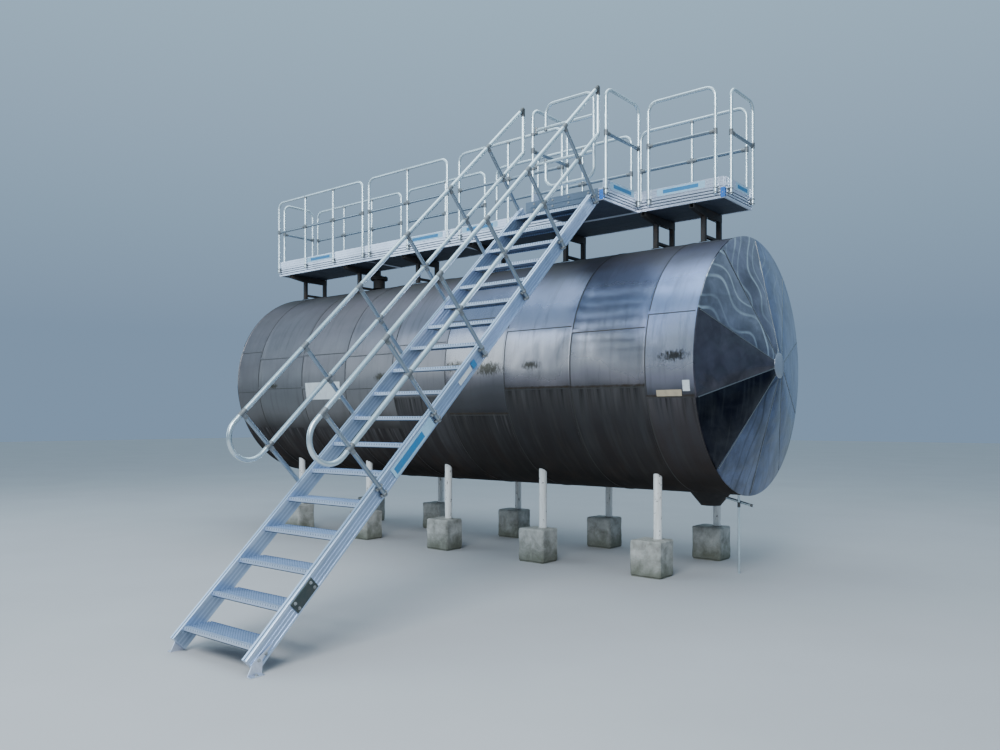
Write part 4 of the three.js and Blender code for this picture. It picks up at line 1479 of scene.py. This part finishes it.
@dataclass
class GuardPanel:
    """Guardrail run of bent tubes with posts, clamps, toe board and brackets."""

    name: str
    run: Run
    loops: list[list[float]]
    toe: Pair
    line: float
    inwards: int
    marks: tuple[Pair, ...] = ()
    standoff: float = 0.0
    lugs: bool = False

    def spot(self, s: float, z: float, off: float = 0.0) -> Point:
        """Gives a point of the run.

        Args:
            s: Place along the run.
            z: Height.
            off: Distance from the rail's plane towards the deck.

        Returns:
            The point.
        """
        away = self.line + self.inwards * off
        return (s, away, z) if self.run is Run.ALONG_X else (away, s, z)

    def build(self) -> None:
        """Builds the panel."""
        piece = Piece(f"railing_{self.name}")
        for posts in self.loops:
            first, last = posts[0], posts[-1]
            hoop = [(first, RAIL_FOOT), (first, RAIL_TOP), (last, RAIL_TOP), (last, RAIL_FOOT)]
            piece.add(tube([self.spot(*corner) for corner in hoop]), BRIGHT_TUBE)
            # The middle rail takes the darker tube finish, which paints its shade.
            piece.add(tube([self.spot(first, RAIL_MID), self.spot(last, RAIL_MID)]), SHADED_TUBE)
            for place in posts[1:-1]:
                piece.add(tube([self.spot(place, RAIL_FOOT), self.spot(place, RAIL_TOP)]), BRIGHT_TUBE)
                self.add_sleeve(piece, place, RAIL_TOP - 0.034, RAIL_TOP)
            for place in posts:
                self.add_clamp(piece, place, posts)
                self.add_socket(piece, place)
        self.add_toe_board(piece)
        if self.lugs:
            self.add_lugs(piece)
        piece.place(Slot.ALUMINIUM, f"guard_{self.name}")

    def add_sleeve(self, piece: Piece, s: float, low: float, high: float) -> None:
        """Puts a short collar on the post at s, between two heights."""
        piece.add(drum(self.spot(s, low), self.spot(s, high), COLLAR_RADIUS), CASTING)

    def add_clamp(self, piece: Piece, place: float, posts: list[float]) -> None:
        """Puts the cast tee at a post where the middle rail meets it.

        Args:
            piece: Piece that gets the clamp.
            place: Place of the post.
            posts: Posts of the loop.
        """
        self.add_sleeve(piece, place, RAIL_MID - 0.030, RAIL_MID + 0.030)
        for side, end in ((-1, posts[0]), (1, posts[-1])):
            if place != end:
                arm = drum(self.spot(place, RAIL_MID), self.spot(place + side * 0.058, RAIL_MID), COLLAR_RADIUS)
                piece.add(arm, CASTING)
                piece.add(screw(self.spot(place + side * 0.040, RAIL_MID + COLLAR_RADIUS), UP, SCREW_SIZE), ZINC)

    def add_socket(self, piece: Piece, place: float) -> None:
        """Bolts the foot of a post to the deck's edge profile.

        Args:
            piece: Piece that gets the socket.
            place: Place of the post.
        """
        reach = self.standoff + RAIL_OFFSET - 0.0006
        back = -0.0005 if self.standoff == 0 else 0.0
        for near, low, high in (
            (back, RAIL_FOOT + 0.006, RAIL_FOOT + 0.012), (back, RAIL_FOOT + 0.052, RAIL_FOOT + 0.060),
            (reach - 0.004, RAIL_FOOT + 0.004, DECK_TOP - 0.004),
        ):
            piece.add(block(self.spot(place - 0.026, low, near), self.spot(place + 0.026, high, reach), 0.001), CASTING)
        for low in (RAIL_FOOT + 0.004, RAIL_FOOT + 0.050):
            self.add_sleeve(piece, place, low, low + 0.012)

    def add_toe_board(self, piece: Piece) -> None:
        """Builds the toe board with its ribs and plain coloured bars.

        Args:
            piece: Piece that gets the board.
        """
        near = self.standoff + RAIL_OFFSET - 0.006
        low, high = DECK_TOP + GAP, TOE_TOP
        section = [*grooved(low, high, 0.0, 0.002, 2), (0.010, high), (0.014, high - 0.004), (0.014, low)]
        placed = [(self.line + self.inwards * (near + a), z) for a, z in section]
        piece.add(outlined(placed, *self.toe, self.run.value), PROFILE)
        for start, stop in self.marks:
            inset = 0.13 * (stop - start)
            for a, b, off, z0, z1, finish in (
                (start, stop, 0.0003, 0.010, 0.082, PALE_FILM),
                (start + inset, stop - inset, 0.0006, 0.027, 0.066, BLUE_FILM),
            ):
                film = block(self.spot(a, low + z0, near - off), self.spot(b, low + z1, near + 0.0022), 0.0)
                piece.add(film, finish)

    def add_lugs(self, piece: Piece) -> None:
        """Adds the two hinge lugs with their pins.

        Args:
            piece: Piece that gets the lugs.
        """
        pin, y = HINGE
        for level in HINGE_LEVELS:
            top = level - 0.030 - GAP
            piece.add(block((self.line, y - 0.012, top - 0.010), (pin + 0.012, y + 0.012, top)), CASTING)
            piece.add(drum((pin, y, top - 0.005), (pin, y, level + 0.036), 0.0079, 16, 0.001), ZINC)
            piece.add(drum((self.line, y, top - 0.022), (self.line, y, top + 0.012), RAIL_RADIUS + 0.004), CASTING)


@dataclass
class Gate:
    """Bent tube gate on two hinge barrels."""

    left: float = 1.892
    right: float = 2.486
    low: float = 4.036

    def build(self) -> None:
        """Builds the gate."""
        piece = Piece("stair_head_gate", "gate")
        pin, y = HINGE
        upper, lower = HINGE_LEVELS
        hoop = [(self.left, upper), (self.left, RAIL_TOP), (self.right, RAIL_TOP), (self.right, self.low),
                (self.left, self.low), (self.left, lower)]
        piece.add(tube([(x, y, z) for x, z in hoop]), BRIGHT_TUBE)
        for level in HINGE_LEVELS:
            low, high = level - 0.030, level + 0.030
            piece.add(tube([(pin + 0.014, y, level), (self.right, y, level)]), BRIGHT_TUBE)
            barrel = [(low, 0.0086), (low, 0.0155), (high, 0.0155), (high, 0.0086)]
            piece.add(turned(barrel, (pin, y, 0), UP, 24), CASTING)
            for x, start in ((self.left, self.left), (self.right, self.right - 0.055)):
                piece.add(drum((x, y, low), (x, y, high), RAIL_RADIUS - 0.0003, 20, 0.0), CASTING)
                piece.add(drum((start, y, level), (start + 0.055, y, level), RAIL_RADIUS - 0.0001, 20, 0.0), CASTING)
        piece.place(Slot.ALUMINIUM, "gate")


# ---- Stair ----


@dataclass
class Stair:
    """Stair flight: stringers, treads, handrails and the head plate."""

    above: float = 0.016
    below: float = 0.109
    top: float = 0.735
    middle: float = 0.395
    start: float = 1.605
    end_y: float = -1.322
    post_first: float = 1.690
    post_pitch: float = 0.783
    rail: float = 0.020
    web_depth: float = 0.006
    dip_depth: float = 0.0014
    teeth: int = 28
    tread_ribs: int = 8
    posts: int = 6
    ribs: Point = (-0.077, -0.049, -0.021)
    films: tuple[tuple[float, float, float, float, float, Finish], ...] = (
        (1.860, 2.430, -0.096, -0.006, 0.0006, PALE_FILM), (1.890, 2.290, -0.080, -0.024, 0.0009, BLUE_FILM),
        (2.860, 3.060, -0.070, -0.030, 0.0006, WHITE_FILM), (3.075, 3.135, -0.078, -0.018, 0.0006, BLUE_FILM),
    )

    def reach(self, y: float, p: float) -> float:
        """Gives the distance up the flight at which a line p above it reaches y."""
        return (y - STAIR_FOOT[0] + p * math.sin(PITCH)) / math.cos(PITCH)

    def faces(self, side: int) -> tuple[float, float, float, float]:
        """Lists the faces of a stringer across the flight.

        Args:
            side: -1 for left, 1 for right.

        Returns:
            Its inner and outer face, the web below the outer one and the groove in the inner one.
        """
        inner = STAIR_X + side * TREAD_HALF
        outer = inner + side * STRINGER_WIDTH
        return inner, outer, outer - side * self.web_depth, inner + side * self.dip_depth

    def foot(self) -> float:
        """Gives the distance up the flight of the stringer's square foot cut."""
        return (0.014 - STAIR_FOOT[1] + self.below * math.cos(PITCH)) / math.sin(PITCH)

    def build(self) -> None:
        """Builds the whole flight."""
        for side, word in ((-1, "left"), (1, "right")):
            self.build_stringer(side, word)
            self.build_handrail(side, word)
        for number in range(1, TREADS + 1):
            self.build_tread(number)
        self.build_head()

    def beam(self, side: int) -> Mesh:
        """Makes the grooved profile of a stringer, cut square at its foot and upright at its head.

        Args:
            side: -1 for left, 1 for right.

        Returns:
            The profile in its place.
        """
        inner, outer, web, dip = self.faces(side)
        low, high = -self.below, self.above
        bare, rib = inner + side * GAP, outer - side * 0.002
        section = [(bare, low), (outer - side * 0.003, low), (outer, low + 0.003), (outer, -0.091)]
        for bottom in self.ribs:
            section += [(web, bottom - 0.012), (web, bottom + 0.012)]
            if bottom < self.ribs[-1]:
                section += [(rib, bottom + 0.013), (rib, bottom + 0.015)]
        section += [(outer, -0.007), (outer, high - 0.003), (outer - side * 0.003, high), (outer - side * 0.018, high),
                    (outer - side * 0.020, high - 0.005), (outer - side * 0.030, high - 0.005),
                    (outer - side * 0.032, high), (bare, high)]
        for level in reversed(self.ribs):
            section += [(bare, level + 0.0115), (dip, level + 0.0085), (dip, level - 0.0085), (bare, level - 0.0115)]
        beam = outlined(section, self.foot(), 5.6, "Y")
        bmesh.ops.transform(beam, matrix=SLOPE, verts=beam.verts[:])
        cut = bmesh.ops.bisect_plane(beam, geom=beam.verts[:] + beam.edges[:] + beam.faces[:],
                                     plane_co=(0, HEAD_Y - GAP, 0), plane_no=(0, 1, 0), clear_outer=True)
        bmesh.ops.contextual_create(beam, geom=[e for e in cut["geom_cut"] if isinstance(e, bmesh.types.BMEdge)])
        return beam

    def build_stringer(self, side: int, word: str) -> None:
        """Builds one stringer with its shaded webs, films, splice and foot.

        Args:
            side: -1 for left, 1 for right.
            word: The side's word.
        """
        piece = Piece(f"flight_stringer_{word}")
        _, outer, web, dip = self.faces(side)
        piece.add(self.beam(side), STRINGER)
        low, high = self.foot() + 0.002, 5.40
        # A dark strip paints the shadow in the top flange's recess.
        strips = [(outer - side * 0.030, outer - side * 0.020, low, high, self.above - 0.0055,
                   self.above - 0.0035, GROOVE_SHADOW_STRIP)]
        # Darker strips in the webs and dips paint their shade.
        for level in self.ribs:
            strips += [
                (web - side * 0.001, web + side * 0.0012, low, high, level - 0.0117, level + 0.0117, SHADED_WEB),
                (dip - side * 0.0004, dip + side * 0.001, low, high, level - 0.0083, level + 0.0083, SHADED_INNER_WEB),
            ]
        for start, stop, bottom, top, rise, film in self.films:
            strips.append((outer - side * 0.001, outer + side * rise, start, stop, bottom, top, film))
        for x0, x1, start, stop, bottom, top, finish in strips:
            piece.add(block((x0, start, bottom), (x1, stop, top), 0.0), finish, SLOPE)
        splice = block((outer - side * 0.002, 0.640, -0.092), (outer + side * 0.006, 0.868, 0.000))
        piece.add(splice, SPLICE, SLOPE)
        for t in (0.668, 0.840):
            for p in (-0.070, -0.022):
                piece.add(bolt((outer + side * 0.006, t, p), (side, 0, 0), BOLT_SIZE), ZINC, SLOPE)
        self.add_foot_bracket(piece, side, outer)
        piece.place(Slot.ALUMINIUM, f"stair_stringer_{word}")

    def add_foot_bracket(self, piece: Piece, side: int, outer: float) -> None:
        """Adds the angled bracket that holds the stringer to the ground.

        Args:
            piece: Piece that gets the bracket.
            side: -1 for left, 1 for right.
            outer: Outer face of the stringer.
        """
        t = self.foot()
        toe = STAIR_FOOT[0] + t * math.cos(PITCH) + self.below * math.sin(PITCH)
        flat = [tuple((SLOPE @ Vector((0, t + a, b))).yz) for a, b in (
            (0.190, -0.062), (0.022, -0.030), (0.055, -0.055), (0.115, -0.068))]
        outline = [(toe - 0.082, 0.0), (toe + 0.026, 0.0), (toe + 0.030, 0.095), *flat[:2]]
        far = outer + side * 0.0058
        piece.add(outlined(outline, outer - side * 0.001, far), PROFILE)
        piece.add(block((outer, toe - 0.082, 0.0), (outer + side * 0.0418, toe + 0.026, 0.006), 0.001), PROFILE)
        piece.add(bolt((outer + side * 0.024, toe - 0.028, 0.006), UP), ZINC)
        for y, z in flat[2:]:
            piece.add(bolt((far, y, z), (side, 0, 0), BOLT_SIZE), ZINC)

    def build_tread(self, number: int) -> None:
        """Builds one ribbed tread with its toothed nosing and side brackets.

        Args:
            number: Number of the tread from the ground.
        """
        half = TREAD_HALF - GAP
        left, right = STAIR_X - half, STAIR_X + half
        _, y, z = SLOPE @ Vector((0, number * math.hypot(RISE, GOING), 0.014))
        piece = Piece(f"ribbed_tread_{number:02d}")
        section = [(0.032, -0.035), (0.032, -0.006)]
        for k in range(self.tread_ribs):
            a = 0.037 + k * 0.0205
            section += [(a, -0.006), (a + 0.002, -0.0006), (a + 0.010, -0.0006), (a + 0.012, -0.006)]
        section += [(0.206, -0.006), (0.206, -0.0015), (0.210, -0.0015), (0.210, -0.022), (0.205, -0.022),
                    (0.205, -0.011), (0.038, -0.011), (0.038, -0.035)]
        lip = [(0.001, -0.035), (0.0, -0.033), (0.0, -0.0165), (0.0025, -0.0155), (0.0025, -0.0052), (0.031, -0.0052),
               (0.031, -0.035)]
        for outline, finish in ((section, STEP_RIBS), (lip, NOSING)):
            piece.add(outlined([(y + a, z + b) for a, b in outline], left, right), finish)
        # Dark strips paint the shade below the tread, along the nosing's lower edge and in the spaces between the
        # teeth.
        bars = [
            (left + 0.001, right - 0.001, 0.0385, 0.2045, -0.0113, -0.0106, 0.0, TREAD_UNDER_SHADE),
            (left + 0.001, right - 0.001, -0.0003, 0.0313, -0.0353, -0.0290, 0.0006, TREAD_UNDER_SHADE),
            (left + 0.002, right - 0.002, 0.0018, 0.030, -0.0152, -0.0046, 0.0, GAP_SHADE),
        ]
        for k in range(self.teeth):
            x = left + 0.0145 + k * (2 * half - 0.029) / (self.teeth - 1)
            bars.append((x - 0.009, x + 0.009, 0.0003, 0.0306, -0.0168, 0.0, 0.0, NOSING))
        for side, wall in ((-1, left), (1, right)):
            bracket = wall - side * 0.005
            bars.append((wall, bracket, 0.040, 0.150, -0.032, -0.011, 0.001, CASTING))
            for away in (0.062, 0.128):
                piece.add(bolt((bracket, y + away, z - 0.022), (-side, 0, 0), 0.006), ZINC)
        for x0, x1, y0, y1, z0, z1, edge, finish in bars:
            piece.add(block((x0, y + y0, z + z0), (x1, y + y1, z + z1), edge), finish)
        piece.place(Slot.ALUMINIUM, f"stair_tread_{number:02d}")

    def build_handrail(self, side: int, word: str) -> None:
        """Builds one handrail with posts, clamps, elbows and brackets.

        Args:
            side: -1 for left, 1 for right.
            word: The side's word.
        """
        piece = Piece(f"flight_handrail_{word}", turn=SLOPE)
        face = STAIR_X + side * (TREAD_HALF + STRINGER_WIDTH)
        x = face + side * RAIL_OFFSET
        head = Vector((x, self.reach(self.end_y, self.top), self.top))
        elbow = Vector((x, self.reach(self.end_y, self.middle), self.middle))
        nose = self.start - (self.top - self.middle) / 2
        back = Vector((0, -0.075, 0))
        rise = (head - elbow).normalized()
        loop = [head + back, (x, nose, self.top), (x, nose, self.middle), elbow]
        piece.add(tube(loop, self.rail, (self.top - self.middle) / 2 - 1e-4, 12), BRIGHT_TUBE)
        for path, finish in (
            ([elbow, head - rise * 0.085], BRIGHT_TUBE), ([head + back, head], DARK_CASTING),
            ([head - rise * 0.085, head], DARK_CASTING),
        ):
            piece.add(tube(path, self.rail), finish)
        for spot, first, finish in ((head, -rise, DARK_CASTING), (elbow, rise, BRIGHT_TUBE)):
            piece.add(tube([spot + back, spot, spot + first * 0.075], self.rail + 0.0006, 0.030, 6), finish)
        for i in range(self.posts):
            t = self.post_first + i * self.post_pitch
            # The posts take the darker tube finish, which paints their shade.
            piece.add(tube([(x, t, -0.092), (x, t, self.top)]), SHADED_TUBE)
            for p in (self.top, self.middle):
                piece.add(drum((x, t - 0.036, p), (x, t + 0.036, p), self.rail + 0.0015), CASTING)
                piece.add(drum((x, t, p - 0.052), (x, t, p - 0.004), RAIL_RADIUS + 0.002), CASTING)
            for p in (-0.075, -0.010):
                piece.add(drum((x, t, p - 0.010), (x, t, p + 0.010), RAIL_RADIUS + 0.0022), CASTING)
                piece.add(block((face, t - 0.034, p - 0.010), (x, t + 0.034, p + 0.010)), CASTING)
                for away in (-0.028, 0.028):
                    piece.add(bolt((x - side * 0.001, t + away, p), (side, 0, 0), 0.0055), ZINC)
        piece.place(Slot.ALUMINIUM, f"stair_handrail_{word}")

    def build_head(self) -> None:
        """Builds the head plate with its bolts and stiffening rib."""
        piece = Piece("flight_head_plate")
        half = TREAD_HALF + STRINGER_WIDTH
        far = HEAD_Y + 0.012
        piece.add(block((STAIR_X - half, HEAD_Y, DECK_BOTTOM), (STAIR_X + half, far, DECK_TOP), 0.0015), HEAD_SHEET)
        for x in (-0.10, -0.34, 0.10, 0.34):
            for z in (DECK_BOTTOM + 0.030, DECK_TOP - 0.030):
                piece.add(bolt((STAIR_X + x, HEAD_Y + 0.0005, z), (0, -1, 0), BOLT_SIZE), ZINC)
        piece.add(block((STAIR_X - 0.39, HEAD_Y - 0.004, DECK_BOTTOM + 0.052),
                        (STAIR_X + 0.39, HEAD_Y + 0.002, DECK_BOTTOM + 0.066), 0.001), HEAD_SHEET)
        piece.place(Slot.ALUMINIUM, "stair_head_plate")


# ---- Studio ----


@dataclass
class Studio:
    """Pale floor, soft lights and the camera at the photograph's angle."""

    eye: Point = (7.038, -8.341 + TANK_Y, 1.599)
    yaw: float = math.radians(39.18)
    focal: float = 30.03
    sensor: float = 36.0
    shift: float = 0.0452
    farthest: float = 200.0
    floor_half: float = 60.0
    aim: Point = (0, TANK_Y, 1.8)
    air: float = 0.92
    air_tones: tuple[tuple[float, Colour], ...] = ((0.10, (0.23, 0.34, 0.49)), (0.75, (0.57, 0.81, 1.00)))
    lamps: tuple[tuple[str, Point, float, float, Colour], ...] = (
        ("key", (6.0, -9.0, 9.0), 6.0, 1450.0, (0.88, 0.96, 1.0)),
        ("fill", (-9.0, -7.0, 6.0), 8.0, 430.0, (0.70, 0.87, 1.0)),
        ("top", (0.0, 2.0, 11.0), 9.0, 580.0, (0.76, 0.91, 1.0)),
    )

    def link(self, name: str, data: bpy.types.ID, place: Point = (0, 0, 0)) -> bpy.types.Object:
        """Puts an object into the scene.

        Args:
            name: Its name.
            data: Its mesh, lamp or camera.
            place: Where it stands.

        Returns:
            The object.
        """
        made = bpy.data.objects.new(name, data)
        made.location = place
        bpy.context.scene.collection.objects.link(made)
        return made

    def build(self) -> None:
        """Builds the studio."""
        self.build_floor()
        self.build_world()
        self.build_lamps()
        self.build_camera()

    def build_floor(self) -> None:
        """Builds the floor."""
        mesh = bmesh.new()
        bmesh.ops.create_grid(mesh, x_segments=8, y_segments=8, size=self.floor_half)
        data = bpy.data.meshes.new("studio_floor")
        mesh.to_mesh(data)
        mesh.free()
        data.materials.append(FLOOR.material())
        self.link("studio_floor", data)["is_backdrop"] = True

    def build_world(self) -> None:
        """Builds the pale surroundings, which are lighter above."""
        world = bpy.data.worlds.new("studio_world")
        world.use_nodes = True
        nodes, links = world.node_tree.nodes, world.node_tree.links
        split = nodes.new("ShaderNodeSeparateXYZ")
        fade = nodes.new("ShaderNodeValToRGB")
        links.new(nodes.new("ShaderNodeTexCoord").outputs["Generated"], split.inputs[0])
        links.new(split.outputs[2], fade.inputs[0])
        links.new(fade.outputs[0], nodes["Background"].inputs[0])
        for element, (place, tone) in zip(fade.color_ramp.elements, self.air_tones):
            element.color = (*tone, 1.0)
            element.position = place
        nodes["Background"].inputs[1].default_value = self.air
        bpy.context.scene.world = world

    def build_lamps(self) -> None:
        """Builds the soft lights."""
        for name, place, size, power, tint in self.lamps:
            data = bpy.data.lights.new(name, "AREA")
            data.size, data.energy, data.color = size, power, tint
            beam = Vector(self.aim) - Vector(place)
            self.link(name, data, place).rotation_euler = beam.to_track_quat("-Z", "Y").to_euler()

    def build_camera(self) -> None:
        """Builds the camera."""
        data = bpy.data.cameras.new("photo_camera")
        data.lens, data.shift_y = self.focal, self.shift
        data.sensor_width = self.sensor
        data.clip_end = self.farthest
        camera = self.link("photo_camera", data, self.eye)
        camera.rotation_euler = (math.pi / 2, 0.0, self.yaw)
        bpy.context.scene.camera = camera


def guard_panels() -> list[GuardPanel]:
    """Lists the guardrail panels.

    Returns:
        The panels with their posts and toe boards.
    """
    one, two = [-3.588, -2.953, -2.324, -1.697], [-1.566, -0.821, -0.110]
    front = DECK_FRONT - RAIL_OFFSET
    left_end, right_end = -3.603, 3.580
    across, ends = (DECK_FRONT + 0.012, DECK_BACK - 0.012), [[-0.500, 0.038]]
    landing, sides = (HINGE[1] - 0.0187, -0.612), [[HINGE[1], -0.623]]
    return [
        GuardPanel("front_left", Run.ALONG_X, [one, two, [0.095, 0.872, 1.649]], (left_end + 0.012, 1.700), front, 1,
                   ((-2.92, -2.34), (-0.82, -0.20), (0.13, 0.70))),
        GuardPanel("front_right", Run.ALONG_X, [[2.744, 3.488]], (2.660, right_end - 0.012), front, 1,
                   ((2.835, 3.370),)),
        GuardPanel("back", Run.ALONG_X, [one, two, [0.095, 0.767, 1.438, 2.110], [2.238, 2.875, 3.500]],
                   (left_end + 0.012, right_end - 0.012), DECK_BACK + 0.034 + RAIL_OFFSET, -1, standoff=0.034),
        GuardPanel("end_left", Run.ALONG_Y, ends, across, left_end - RAIL_OFFSET, 1),
        GuardPanel("end_right", Run.ALONG_Y, ends, across, right_end + RAIL_OFFSET, -1, ((-0.36, -0.03),)),
        GuardPanel("landing_left", Run.ALONG_Y, sides, landing, LANDING[0] - RAIL_OFFSET, 1, lugs=True),
        GuardPanel("landing_right", Run.ALONG_Y, sides, landing, LANDING[1] + RAIL_OFFSET, -1, ((-1.165, -0.695),)),
    ]


def deck_modules() -> list[DeckModule]:
    """Lists the deck modules and the landing.

    Returns:
        The modules with their ends and caps.
    """
    joints = (-3.603, -1.648, 0.039, 2.640, 3.580)
    decks = []
    for i in range(4):
        left = joints[i] + (0.0 if i == 0 else GAP)
        caps = ((joints[4], DECK_FRONT),) if i == 3 else ()
        decks.append(DeckModule(f"walkway_deck_{i + 1}", f"deck_module_{i + 1}", left, joints[i + 1], caps=caps))
    left, right, front = LANDING
    decks.append(DeckModule("landing_platform", "landing_deck", left, right, front, DECK_FRONT - GAP, 5,
                            ((left, front), (right, front))))
    return decks


def main() -> None:
    """Builds the scene in order."""
    logging.basicConfig(level=logging.INFO, format="%(name)s %(message)s")
    for part in (
        Studio(), TankShell(), TankEnd(1, GORE_RIGHT), TankEnd(-1, GORE_LEFT), TankLegs(), TopNozzle(), Drain(),
        SupportFrames(), *deck_modules(), *guard_panels(), Gate(), Stair(),
    ):
        part.build()
    sizes = {"cad": CAD_BOX, "visual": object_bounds()}
    {key: [[float(v) for v in corner] for corner in box] for key, box in sizes.items()}


if __name__ == "__main__":
    main()
